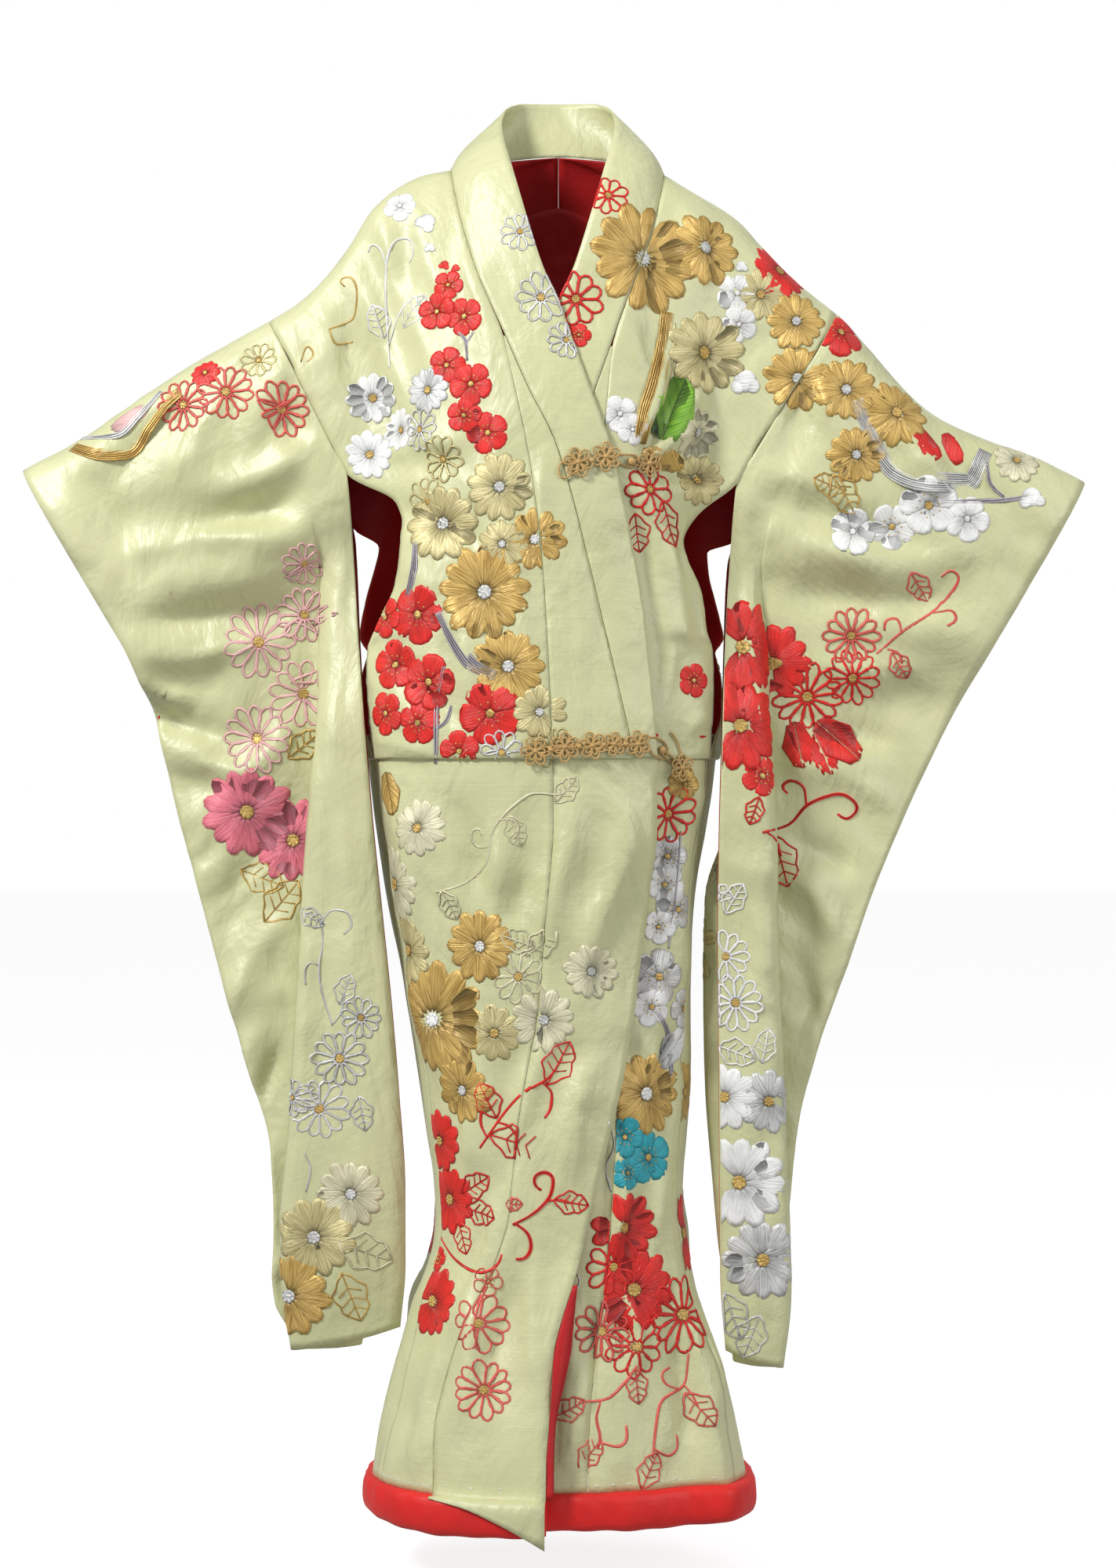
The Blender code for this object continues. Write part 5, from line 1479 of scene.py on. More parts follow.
def lay_leaf(threads, spot, uneven, half, petals, colour, heart, line, base):
    """A leaf in two halves beside its vein. half is half its length."""
    width = half * 0.62
    if line:
        t = np.linspace(0, 1, 9)
        for side in (-1, 1):
            wave = side * width * np.sin(math.pi * t) ** 0.8 * (1 + 0.16 * np.cos(5 * math.pi * t))
            threads.line(spot, half * (2 * t - 1), wave, 2.3, 0.8, base + 0.1, colour, False)
        threads.line(spot, half * (1.9 * t - 1), 0 * t, 1.8, 0.7, base + 0.1, colour, False)
        for k in (0.3, 0.5, 0.7):
            for side in (-1, 1):
                way = np.linspace(0, 1, 4)
                lx = half * (2 * k - 1) + way * half * 0.28
                threads.line(spot, lx, side * way * width * 0.72, 1.5, 0.6, base + 0.1, colour, False)
        return
    for side in (-1, 1):

        def shape(a, b, side=side):
            wide = width * np.sqrt(np.clip(1 - a * a, 0, 1)) * (1 + 0.12 * np.cos(7 * a))
            across = (b / np.sqrt(np.clip(1 - a * a, 0.04, 1)) * 0.5 + 0.5) * wide
            return a * half, side * (0.35 + across)

        threads.piece(spot, shape, 0.0, 0.0, colour, relief(), base, side * 0.7)


def lay_band(threads, spot, uneven, half, wide, colour, heart, line, base):
    """A solid lozenge of laid thread, such as a part of a ribbon or a fan. wide is its breadth in pixels."""
    breadth = wide * PIXEL

    def shape(a, b):
        square = np.maximum(np.abs(a), np.abs(b))
        away = np.sqrt(a * a + b * b)
        grow = np.where(square > 1e-6, (away / np.maximum(square, 1e-6)) ** 0.72, 1)
        return a * half * grow, b * breadth / 2 * grow

    threads.piece(spot, shape, 0.0, 0.0, colour, 0.7, base, 0.5)


LAY = {"mum": lay_mum, "plum": lay_plum, "bud": lay_bud, "leaf": lay_leaf, "band": lay_band}


# What is sewn on each area, in the order of sewing. Each group names its kind, its thread, the thread of its
# heart and whether it is only outlined, and then gives places in picture pixels: x, y, radius, turn in
# degrees, and the number of petals of a mum or the breadth of a band. A leaf's radius is half its length.
MOTIFS = {
    "collar": [
        ("mum silver gold line", (664, 296, 26, 10, 10), (690, 380, 32, 40, 10), (722, 434, 24, 0, 10)),
        ("mum red gold line", (734, 382, 34, 20, 9), (775, 250, 26, 20, 9)),
        ("plum red gold", (738, 428, 16, 0)),
    ],
    "right_front": [
        ("plum white white", (510, 263, 22, 15)),
        ("bud white white", (544, 283, 14, 40), (548, 316, 7, 0)),
        ("plum white white", (449, 301, 18, 0)),
        ("leaf white white line", (526, 396, 24, -50), (482, 410, 22, 250)),
        ("mum silver gold", (546, 498, 30, 20, 11)),
        ("mum white gold", (476, 508, 34, 10, 11), (512, 549, 28, 30, 11), (472, 580, 32, 0, 11)),
        ("mum silver gold line", (536, 548, 26, 0, 10)),
        ("mum light_gold gold line", (566, 586, 28, 10, 10)),
        ("bud red red", (567, 338, 7, 20), (581, 342, 6, 0)),
        (
            "plum red gold",
            (572, 364, 20, 10), (558, 398, 25, 50), (592, 404, 25, 30), (570, 466, 24, 0),
            (601, 490, 28, 20), (592, 530, 22, 60), (622, 552, 27, 35),
        ),
        ("mum light_gold gold line", (546, 640, 30, 10, 10)),
        ("mum light_gold silver", (637, 621, 44, 12, 12), (566, 668, 50, 0, 12)),
        ("mum gold silver", (682, 688, 40, 5, 11)), ("mum light_gold silver", (640, 694, 32, 5, 11)),
        ("mum gold silver", (618, 755, 60, 20, 13)), ("mum light_gold silver", (688, 908, 34, 10, 11)),
        ("mum gold silver", (648, 850, 48, 0, 12)), ("mum light_gold gold line", (706, 954, 26, 10, 10)),
        ("mum silver gold line", (640, 960, 28, 10, 10)),
        (
            "plum red gold",
            (492, 788, 26, 10), (533, 784, 38, 10), (505, 848, 32, 40), (547, 870, 36, 0),
            (493, 910, 28, 20), (533, 922, 28, 55), (625, 910, 40, 25), (586, 958, 26, 45),
        ),
        ("leaf gold gold", (498, 1012, 28, 70)),
        ("mum champagne gold", (532, 1056, 38, 15, 12), (504, 1128, 52, 5, 13)),
        ("mum light_gold gold", (522, 1212, 46, 10, 12)), ("mum gold silver", (612, 1207, 46, 0, 12)),
        ("mum light_gold gold", (630, 1318, 36, 0, 11)), ("mum gold white", (552, 1300, 76, 14, 14)),
        ("mum gold silver", (590, 1391, 42, 25, 11)),
        (
            "leaf champagne gold line",
            (573, 1154, 20, 60), (657, 1060, 20, 70), (722, 1008, 20, -50), (690, 1204, 24, -40),
            (660, 1200, 22, 200),
        ),
        ("mum champagne gold line", (661, 1246, 34, 0, 11)),
        ("mum champagne silver", (693, 1301, 42, 20, 12), (754, 1239, 36, 10, 12)),
        ("mum red gold", (562, 1455, 40, 0, 11), (574, 1530, 44, 12, 12), (552, 1660, 46, 8, 12)),
        ("plum red gold", (560, 1606, 16, 8)), ("plum coral gold line", (622, 1634, 18, 8)),
        ("mum coral gold line", (610, 1688, 36, 8, 10), (617, 1773, 36, 20, 12)),
        (
            "leaf red red line",
            (622, 1404, 24, 245), (658, 1457, 32, 15), (712, 1356, 30, -62), (728, 1534, 22, 10),
            (606, 1512, 24, -30), (614, 1547, 24, 10), (590, 1578, 22, 60),
        ),
        ("leaf coral red line", (651, 1536, 14, 0)),
    ],
    "left_front": [
        ("plum white white", (940, 374, 26, 10), (942, 414, 24, 30)),
        ("bud white white", (950, 486, 18, 0), (945, 340, 8, 0)),
        ("mum light_gold gold", (970, 376, 34, 0, 11)),
        ("mum gold silver", (900, 316, 48, 0, 12), (818, 330, 72, 10, 12)),
        ("mum light_gold gold", (897, 450, 54, 20, 12)), ("mum champagne silver", (890, 553, 36, 10, 11)),
        ("mum light_gold gold", (888, 612, 34, 0, 11)), ("leaf green green", (857, 522, 44, -60)),
        ("band gold gold", (848, 586, 34, 10, 26)),
        ("plum white white", (790, 528, 24, 30), (806, 548, 20, 0)),
        ("mum red gold line", (828, 624, 32, 15, 9)),
        ("leaf red gold line", (852, 668, 30, 70), (812, 680, 24, 80)),
        ("plum red gold", (884, 868, 22, 0)), ("mum red gold line", (851, 1038, 36, 10, 10)),
        ("plum gold gold", (872, 1000, 20, 0)), ("plum silver gold", (850, 1092, 26, 0)),
        ("plum white gold", (846, 1128, 26, 20)), ("plum silver gold", (864, 1160, 26, 45)),
        ("plum white gold", (838, 1182, 22, 10)), ("plum silver gold", (840, 1246, 36, 0)),
        ("plum white gold", (830, 1284, 26, 30)), ("plum silver gold", (870, 1286, 26, 15)),
        ("leaf white silver", (856, 1336, 30, -40)), ("mum gold gold", (872, 1392, 40, 15, 11)),
        ("mum gold white", (824, 1395, 54, 5, 13)), ("mum gold gold", (872, 1480, 34, 0, 11)),
        ("plum turquoise gold", (796, 1450, 26, 10), (826, 1476, 34, 40), (800, 1496, 22, 0)),
        ("mum red gold", (870, 1573, 50, 0, 13), (796, 1566, 46, 10, 12), (808, 1645, 54, 12, 12)),
        ("mum red gold line", (782, 1616, 36, 0, 10), (870, 1677, 48, 0, 13)),
        ("mum coral gold line", (767, 1698, 36, 10, 11)), ("mum red gold line", (812, 1718, 38, 20, 10)),
        ("leaf coral gold line", (812, 1768, 22, 85)),
        (
            "leaf coral red line",
            (726, 1798, 22, -30), (893, 1798, 26, 50), (752, 1854, 22, -50), (828, 1876, 24, -60),
        ),
    ],
    "sleeve_right": [
        ("band rose gold", (164, 534, 26, -32, 26)),
        ("mum coral gold line", (288, 500, 36, 10, 12), (234, 517, 34, 0, 12), (359, 522, 36, 5, 12)),
        ("mum light_gold gold line", (330, 460, 24, 5, 10)), ("mum red gold", (262, 476, 20, 5, 10)),
        (
            "mum rose gold line",
            (388, 719, 28, 0, 11), (388, 784, 36, 12, 12), (387, 885, 44, 8, 12), (330, 819, 46, 0, 13),
            (328, 942, 44, 15, 13),
        ),
        ("leaf gold gold line", (388, 950, 26, -40), (334, 1120, 30, 20), (359, 1150, 34, -50)),
        ("mum pink gold", (374, 1072, 54, 10, 13), (315, 1036, 60, 0, 13)),
        ("leaf silver gold line", (440, 1262, 20, -70), (396, 1170, 18, 30)),
        (
            "mum silver gold line",
            (460, 1298, 26, 0, 11), (433, 1350, 36, 0, 12), (407, 1414, 38, 14, 12),
        ),
        ("leaf silver gold line", (462, 1420, 22, 80)), ("mum silver gold line", (374, 1400, 24, 14, 12)),
        ("leaf champagne gold line", (466, 1596, 36, 20)), ("leaf gold gold line", (448, 1654, 34, 70)),
        ("mum champagne silver", (447, 1523, 44, 0, 12)),
        ("mum light_gold silver", (400, 1578, 54, 10, 12)), ("mum gold silver", (368, 1653, 56, 5, 12)),
    ],
    "sleeve_left": [
        ("mum red gold", (994, 346, 42, 10, 11)), ("plum red gold", (1072, 424, 34, 20)),
        ("mum gold silver", (1079, 497, 42, 5, 12), (1015, 410, 38, 0, 12), (1017, 483, 44, 12, 12)),
        ("mum gold gold", (1144, 526, 44, 5, 12)), ("mum gold silver", (1092, 580, 38, 0, 12)),
        ("mum champagne gold", (1296, 588, 32, 0, 11)),
        ("band red gold", (1180, 566, 26, 50, 30), (1214, 572, 22, 70, 20)),
        ("bud white white", (1316, 634, 16, 0)), ("plum white white", (1087, 678, 30, 0)),
        ("plum white gold", (1137, 672, 30, 20)), ("plum white white", (1233, 662, 30, 10)),
        ("plum white gold", (1184, 645, 38, 45)),
        ("leaf gold gold line", (1076, 630, 28, 60), (1058, 618, 22, 200)),
        ("leaf coral gold line", (1172, 748, 22, 60), (1150, 850, 20, 60)),
        ("mum coral gold line", (1085, 811, 36, 0, 12)),
        ("mum red gold line", (1087, 865, 36, 14, 12), (1029, 889, 44, 5, 13)),
        ("leaf red red", (1018, 950, 30, 80), (1068, 944, 36, 42), (1050, 962, 28, 68)),
        ("mum red gold", (984, 846, 52, 0, 12), (946, 826, 62, 0, 12), (944, 926, 58, 12, 12)),
        ("plum red gold", (972, 990, 26, 12)),
        ("leaf red red line", (996, 1098, 34, 75), (962, 1034, 18, 110)),
        ("leaf white white line", (936, 1146, 22, -60), (918, 1138, 16, 200)),
        ("mum white gold line", (925, 1220, 32, 0, 11), (938, 1279, 36, 10, 12)),
        ("leaf white white line", (938, 1342, 26, 20), (976, 1334, 22, -80)),
        ("mum silver gold", (980, 1405, 42, 12, 11)), ("mum white gold", (923, 1399, 44, 0, 11)),
        ("leaf silver silver line", (934, 1678, 32, 70), (958, 1704, 30, 110)),
        ("mum silver gold", (973, 1607, 54, 0, 12)), ("mum white gold", (942, 1508, 62, 5, 12)),
    ],
}

# Couched stems of each area: thread, width in millimetres and the pixels they run through, x and y in turn.
STEMS = {
    "right_front": [
        ("white", 2.6, (497, 470, 494, 420, 492, 370, 494, 330, 505, 306, 522, 304, 528, 322, 522, 336)),
        ("white", 2.2, (494, 345, 486, 318, 474, 310, 470, 322)),
        ("white", 2.4, (496, 440, 510, 400, 530, 378, 536, 390)),
        ("white", 2.0, (493, 400, 484, 390, 472, 396)),
        ("gold", 2.0, (420, 420, 452, 405, 456, 372, 446, 352, 432, 358, 440, 366)),
        ("gold", 2.0, (420, 420, 428, 440, 450, 436)),
        ("branch", 3.2, (596, 460, 594, 432, 584, 424)),
        ("branch", 2.4, (594, 440, 604, 424)),
        ("branch", 8.0, (530, 690, 528, 726, 520, 760)),
        ("branch", 12.0, (560, 780, 576, 812, 604, 850, 632, 862)),
        ("branch", 5.0, (566, 850, 556, 910, 556, 974)),
        ("branch", 4.0, (556, 930, 570, 920, 576, 900)),
        ("champagne", 2.8, (556, 1138, 590, 1128, 623, 1097, 628, 1062, 652, 1030, 684, 1011,
          712, 1014, 728, 1000, 724, 992)),
        ("champagne", 2.2, (626, 1080, 612, 1082, 600, 1068, 604, 1056, 616, 1058, 614, 1066)),
        ("champagne", 2.2, (634, 1046, 652, 1044, 662, 1056, 656, 1070)),
        ("red", 3.0, (612, 1464, 640, 1424, 670, 1392, 700, 1374, 716, 1350)),
        ("red", 2.8, (690, 1380, 704, 1394, 702, 1416, 694, 1426)),
        ("red", 2.8, (622, 1452, 612, 1430, 616, 1410)),
        ("red", 2.8, (636, 1432, 650, 1436, 660, 1450)),
        ("red", 2.8, (562, 1578, 580, 1606, 612, 1624, 636, 1612, 640, 1600)),
        ("red", 3.2, (654, 1562, 680, 1548, 704, 1520, 706, 1502, 694, 1494, 680, 1502, 682,
          1514, 690, 1518)),
        ("red", 2.8, (696, 1532, 712, 1530, 726, 1534)),
        ("red", 3.2, (656, 1560, 674, 1574, 678, 1590, 668, 1606, 658, 1606)),
        ("coral", 2.4, (612, 1722, 604, 1700, 608, 1670, 622, 1640)),
    ],
    "sleeve_right": [
        ("gold", 2.0, (384, 462, 392, 440, 402, 452, 392, 462)),
        ("silver", 2.2, (390, 1164, 406, 1168, 412, 1196, 406, 1236, 424, 1308)),
        ("silver", 2.2, (408, 1180, 424, 1160, 442, 1162, 450, 1180, 438, 1192)),
        ("silver", 2.2, (407, 1232, 396, 1226, 388, 1240, 390, 1256)),
        ("silver", 2.0, (424, 1306, 436, 1290, 440, 1262)),
        ("silver", 2.0, (388, 1470, 396, 1490, 390, 1520)),
        ("gold", 15.0, (90, 570, 130, 580, 166, 576, 186, 546, 208, 518, 230, 500)),
        ("silver", 7.0, (104, 560, 150, 556, 176, 532, 206, 500)),
    ],
    "left_front": [
        ("gold", 16.0, (850, 398, 846, 440, 836, 490, 824, 526, 816, 566)),
        ("light_gold", 3.0, (860, 412, 858, 452, 848, 500, 836, 540)),
        ("coral", 2.8, (738, 1788, 770, 1786, 796, 1764, 812, 1742)),
        ("coral", 2.8, (766, 1788, 760, 1810, 766, 1832, 762, 1848)),
        ("coral", 3.0, (766, 1840, 790, 1846, 800, 1834, 798, 1818)),
        ("coral", 3.0, (878, 1726, 874, 1764, 842, 1788, 836, 1822, 832, 1860)),
        ("coral", 2.8, (866, 1772, 848, 1766, 842, 1752, 854, 1744)),
        ("coral", 2.8, (834, 1848, 852, 1858, 864, 1846, 862, 1830)),
        ("coral", 2.6, (872, 1766, 884, 1780, 890, 1794)),
        ("silver", 2.2, (776, 1430, 784, 1462, 772, 1490, 780, 1520)),
        ("silver", 2.2, (734, 1622, 740, 1634, 734, 1646)),
        ("branch", 6.0, (838, 1290, 852, 1320, 856, 1372)),
        ("branch", 3.0, (868, 1060, 862, 1140, 852, 1210)),
    ],
    "sleeve_left": [
        ("silver", 18.0, (1092, 510, 1112, 560, 1140, 600, 1180, 614, 1234, 616, 1256, 576)),
        ("branch", 5.0, (1200, 640, 1236, 640, 1280, 638, 1310, 634)),
        ("branch", 4.0, (1258, 590, 1262, 616, 1280, 634)),
        ("coral", 3.0, (1118, 834, 1150, 806, 1192, 779, 1212, 758, 1224, 736, 1212, 726, 1200, 736)),
        ("coral", 2.8, (1150, 808, 1144, 788, 1128, 792, 1128, 804)),
        ("coral", 2.8, (1190, 782, 1214, 778, 1220, 792, 1208, 798)),
        ("coral", 2.6, (1132, 828, 1146, 832, 1150, 846)),
        ("red", 3.2, (972, 1062, 1006, 1052, 1030, 1026, 1072, 1012, 1094, 1030, 1078, 1046, 1068, 1038)),
        ("red", 3.0, (1028, 1028, 1026, 1004, 1008, 994, 996, 1004, 1004, 1012)),
        ("red", 2.8, (976, 1060, 990, 1072, 996, 1092)),
    ],
}


def outer_cloth():
    """The names of the pieces that embroidery and frogs are sewn on."""
    return [name for name in surfaces if "lining" not in name and "facing" not in name]


def picture_line(trail, spacing):
    """A smooth line through pixels, given x and y in turn, with a point every few millimetres."""
    corners = np.reshape(trail, (-1, 1, 2)).astype(float)
    line, _, _ = resample(corners * PIXEL, np.zeros((len(corners), 1, 1)), spacing, 0)
    return line[:, 0] / PIXEL


def build_embroidery():
    """Sews the flowers, leaves and stems of every area on the cloth."""
    model_bead("bead", 12, [(0.28, 0.42), (0.36, 0.23)])
    sewing = Sewing(outer_cloth())
    for area in MOTIFS:
        piece = embroider(sewing, area, STEMS.get(area, []), motif_rows(area), False).finish()
    for side in ("right", "left"):
        threads = embroider(sewing, f"back_{side}", *back_rows(side), True)
        threads.finish()


def embroider(sewing, area, stems, rows, back):
    """Sews one area: first its stems, then what lies on them."""
    threads = Threads(f"embroidery_{area}")
    for colour, width, trail in stems:
        threads.stem(sewing, trail, width, colour, back=back)
    for i, (kind, x, y, radius, turn, petals, colour, heart, line) in enumerate(rows):
        spot = Spot(sewing, x, y, math.radians(turn), back)
        if spot.good:
            LAY[kind](threads, spot, x, radius * PIXEL, petals, colour, heart, line, 0.1 + 0.22 * (i % 4))
    return threads


def motif_rows(area):
    """One row for each flower, leaf or band of an area."""
    rows = []
    for words, *places in MOTIFS[area]:
        kind, colour, heart, *outlined = words.split()
        for x, y, radius, turn, *petals in places:
            rows.append((kind, x, y, radius, turn, *(petals or [0]), colour, heart, bool(outlined)))
    return rows


def back_rows(side):
    """Stems and rows of the back: the front's own work turned over to the other side, and the sleeve's."""
    across = IMAGE_WIDTH + 1
    front = "left_front" if side == "right" else "right_front"
    middle, inner, outer = across / 2, 250, 300
    rows = [(kind, across - x, *rest) for kind, x, *rest in motif_rows(front) if abs(x - middle) < inner]
    rows += [row for row in motif_rows(f"sleeve_{side}") if abs(row[1] - middle) > outer]
    stems = []
    for colour, width, trail in STEMS[front]:
        turned = np.reshape(trail, (-1, 2)) * (-1, 1) + (across, 0)
        stems.append((colour, width, turned))
    return stems + STEMS[f"sleeve_{side}"], rows


# Frogs: node, flowers, balls and links. A flower has its pixel, radius in millimetres and turn in degrees, a
# ball its pixel and radius, and a link the pixels that its cord runs through.
FROGS = [
    ("frog_upper_loop", [(737, 590, 15.5, 10), (772, 583, 15.5, 34)], [(754, 588, 3.2)],
     [[(737, 590), (722, 588), (713, 593), (712, 604), (720, 611), (728, 604), (726, 594), (737, 590)],
      [(772, 583), (790, 580), (806, 580), (814, 588), (806, 597), (790, 592), (772, 587)]]),
    ("frog_upper_knot", [(826, 591, 14.5, 20)], [(803, 589, 4.6), (826, 591, 3.0)],
     [[(803, 589), (812, 586), (826, 588)], [(803, 591), (812, 594), (826, 594)]]),
    ("frog_lower_loop",
     [(683, 958, 15.5, 0), (720, 953, 15.5, 30), (755, 951, 14.5, 12), (782, 949, 12.5, 40),
      (812, 949, 14.0, 22)],
     [(702, 956, 3.0), (738, 952, 3.0), (769, 950, 3.0), (797, 949, 3.0)],
     [[(812, 945), (828, 940), (842, 944), (850, 955), (844, 967), (832, 964), (826, 954), (812, 952)],
      [(683, 955), (720, 950), (755, 948), (812, 946)], [(683, 961), (720, 956), (755, 954), (812, 952)]]),
    ("frog_lower_knot", [(868, 979, 14.0, 25)], [(841, 956, 4.6), (868, 979, 3.0)],
     [[(841, 956), (852, 962), (866, 976)], [(841, 960), (850, 968), (864, 982)],
      [(868, 966), (862, 946), (854, 934)]]),
]


def cord_tube(points, normals, radius, closed):
    """Points and faces of a twisted cord of two strands along a path."""
    points = np.asarray(points, float)
    spread = np.linalg.norm(np.diff(points, axis=0), axis=1)
    length = np.concatenate([[0], np.cumsum(spread)])
    count = max(6, int(length[-1] / 1.25))
    places = np.linspace(0, length[-1], count, endpoint=not closed)
    line = np.stack([np.interp(places, length, points[:, k]) for k in range(3)], axis=1)
    up = unit(np.stack([np.interp(places, length, np.asarray(normals)[:, k]) for k in range(3)], axis=1))
    way = np.roll(line, -1, axis=0) - np.roll(line, 1, axis=0)
    if not closed:
        way[0], way[-1] = line[1] - line[0], line[-1] - line[-2]
    way = unit(way)
    side = unit(np.cross(way, up))
    up = np.cross(side, way)
    rings, sides = [], 8
    for k in range(sides):
        angle = 2 * math.pi * k / sides
        reach = radius * (1 + 0.16 * np.cos(2 * angle - 2 * math.pi * places / 4.4))[:, None]
        rings.append(line + (side * math.cos(angle) + up * math.sin(angle)) * reach)
    verts = np.stack(rings, axis=1).reshape(-1, 3)
    faces = []
    for i in range(count if closed else count - 1):
        a, b = i * sides, (i + 1) % count * sides
        faces += [(a + k, a + (k + 1) % sides, b + (k + 1) % sides, b + k) for k in range(sides)]
    if not closed:
        faces += [tuple(range(sides))[::-1], tuple((count - 1) * sides + k for k in range(sides))]
    around = np.tile(np.arange(sides) * 0.0008, count)
    uv = np.stack([np.repeat(places * MM, sides), around], axis=1)
    a, b, c = (verts[m] for m in faces[0][:3])
    if np.dot(np.cross(b - a, c - a), verts[0] - line[0]) < 0:
        faces = [face[::-1] for face in faces]
    return verts, faces, uv


def ball_points(centre, normal, first, radius):
    """A round knot: rings of points between two poles, slightly flattened on the cloth."""
    second = np.cross(normal, first)
    points, faces = [centre - normal * radius * 0.8], []
    rings, sides = 5, 10
    for i in range(rings):
        tilt = -math.pi / 2 + math.pi * (i + 1) / (rings + 1)
        for k in range(sides):
            angle = 2 * math.pi * (k + 0.5 * (i % 2)) / sides
            bulge = radius * (1 + 0.06 * math.cos(5 * angle + 1.3 * i))
            flat = (first * math.cos(angle) + second * math.sin(angle)) * math.cos(tilt) * bulge
            points.append(centre + flat + normal * math.sin(tilt) * radius * 0.8)
    points.append(centre + normal * radius * 0.8)
    top = len(points) - 1
    for k in range(sides):
        n = (k + 1) % sides
        faces.append((0, 1 + n, 1 + k))
        for i in range(rings - 1):
            a, b = 1 + i * sides, 1 + (i + 1) * sides
            faces.append((a + k, a + n, b + n, b + k))
        last = 1 + (rings - 1) * sides
        faces.append((last + k, last + n, top))
    return np.array(points), faces


def build_frogs(sewing):
    """Ties the four frog halves of gold cord: looped flowers, round knots and the cords that join them."""
    thick = bpy.context.scene.kimono.cord / MM
    for node, flowers, balls, links in FROGS:
        points, faces, uv, count = [], [], [], 0

        def keep(new_points, new_faces, new_uv=None):
            nonlocal count
            points.append(new_points)
            faces.extend(tuple(count + i for i in face) for face in new_faces)
            uv.append(np.zeros((len(new_points), 2)) if new_uv is None else new_uv)
            count += len(new_points)

        for x, y, radius, turn in flowers:
            spot = Spot(sewing, x, y, math.radians(turn))
            centre = spot.point + spot.normal * 2.6
            steps = np.linspace(0, 2 * math.pi, 26, endpoint=False)
            for k, size in [(k, size) for k in range(6) for size in (1.0, 0.56)]:
                angle = 2 * math.pi * k / 6
                along = radius * (0.1 + 0.05 * (size < 1) + 0.45 * size * (1 - np.cos(steps)))
                across = radius * 0.3 * size * np.sin(steps) * (0.75 + 0.45 * (1 - np.cos(steps)) / 2)
                c, s = math.cos(angle), math.sin(angle)
                rise = 0.5 * np.sin(steps / 2) + (0.35 if k % 2 else -0.1)
                path = (
                    centre
                    + (c * along - s * across)[:, None] * spot.first
                    + (s * along + c * across)[:, None] * spot.second
                    + rise[:, None] * spot.normal
                )
                path = np.concatenate([path, path[:1]])
                keep(*cord_tube(path, np.tile(spot.normal, (len(path), 1)), thick, True))
            keep(*ball_points(centre + spot.normal * 0.8, spot.normal, spot.first, 2.6))
        for x, y, radius in balls:
            spot = Spot(sewing, x, y)
            centre = spot.point + spot.normal * (1.2 + radius * 0.8)
            keep(*ball_points(centre, spot.normal, spot.first, radius))
        for trail in links:
            path, ups = [], []
            for x, y in picture_line(trail, 2.0):
                spot = Spot(sewing, float(x), float(y))
                if spot.good:
                    path.append(spot.point + spot.normal * 2.5)
                    ups.append(spot.normal)
            keep(*cord_tube(soften(np.array(path)), np.array(ups), thick, False))
        points, uv = np.concatenate(points), np.concatenate(uv)
        piece = add_mesh(f"{node}_cord", points, faces, [materials["cord"]], None, uv)
        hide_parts(node)


def soften(path):
    """Evens out the kinks of a path."""
    for _ in range(4):
        path[1:-1] = (path[:-2] + 2 * path[1:-1] + path[2:]) / 4
    return path


def build_stitches(sewing):
    """Sews the small pale stitches that hold the silk to the padded hem."""
    threads = Threads("hem_stitches")
    for sheet in sewing.sheets:
        if not sheet.name.startswith(("body", "overlap")):
            continue
        low = sheet.down[np.nonzero(sheet.grid[:, 0, 2] > SKIRT_ROWS[-1] + 7.0)[0]]
        ends = [low[-1]] if sheet.name.startswith("overlap") else [low[0], low[-1]]
        for u in ends:
            for n, v in enumerate(np.arange(12.0, sheet.across[-1] - 8, 23.0)):
                point, normal, _, dv = sheet.frame(u + 1.2 * math.sin(3.1 * n), v)
                way = unit(dv)
                run = np.array([point + way * t for t in (-2.2, -0.8, 0.8, 2.2)])
                threads.ribbon(run, np.tile(normal, (4, 1)), 1.1, 0.6, 0.1, "white")
    piece = threads.finish()


def sleeve_push(coarse, normals):
    """The way that creases move a sleeve: the hanging layers go forward together, the arm goes outward."""
    hanging = ease((ridge_line(coarse[..., 0]) - coarse[..., 2] - 40) / 110)[..., None]
    return lerp(normals, np.array([0.0, -1.0, 0.0]), hanging)


def near_seam(down, across):
    """Creases fade out towards the seam that a sleeve hangs from."""
    return 0.25 + 0.75 * ease(across / 60.0)[None, :] + 0 * down[:, None]


def build_body(grids):
    """Makes the silk of the body panels and the overlaps, lined in red."""
    both = [materials["silk"], materials["lining"]]
    for side in ("right", "left"):
        for part in ("body", "overlap"):
            name = f"{part}_{side}"
            coarse, normals = grids[name]
            if name == "overlap_right":
                coarse, normals = hang_tip(coarse, normals)
            piece = add_cloth(f"{name}_silk", side, coarse, normals, both)
            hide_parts(name)


def hang_tip(coarse, normals):
    """Lets the lower corner of the right front hang down over the padded roll, lowest at the front edge."""
    level = unit(normals[-1] * np.array([1.0, 1.0, 0.0]))
    length = 2.0 + TIP_DROP * np.linspace(0, 1, coarse.shape[1]) ** 2.0
    rows, facings = [coarse], [normals]
    for part in (0.01, 0.04, 0.1, 0.2, 0.35, 0.55, 0.77, 1.0):
        drop = length * part
        out = np.interp(drop, [0.0, 0.5, 1.2, 3.2, 9.0, 17.0], [2.0, 7.5, 10.5, 13.4, 15.0, 15.2])
        row = coarse[-1] + level * out[:, None]
        row[:, 2] -= drop
        rows.append(row[None])
        lean = np.clip(1 - drop / 14.0, 0, 1)[:, None] * 0.8
        facings.append(unit(level + lean * np.array([0, 0, 1.0]))[None])
    return np.concatenate(rows), np.concatenate(facings)


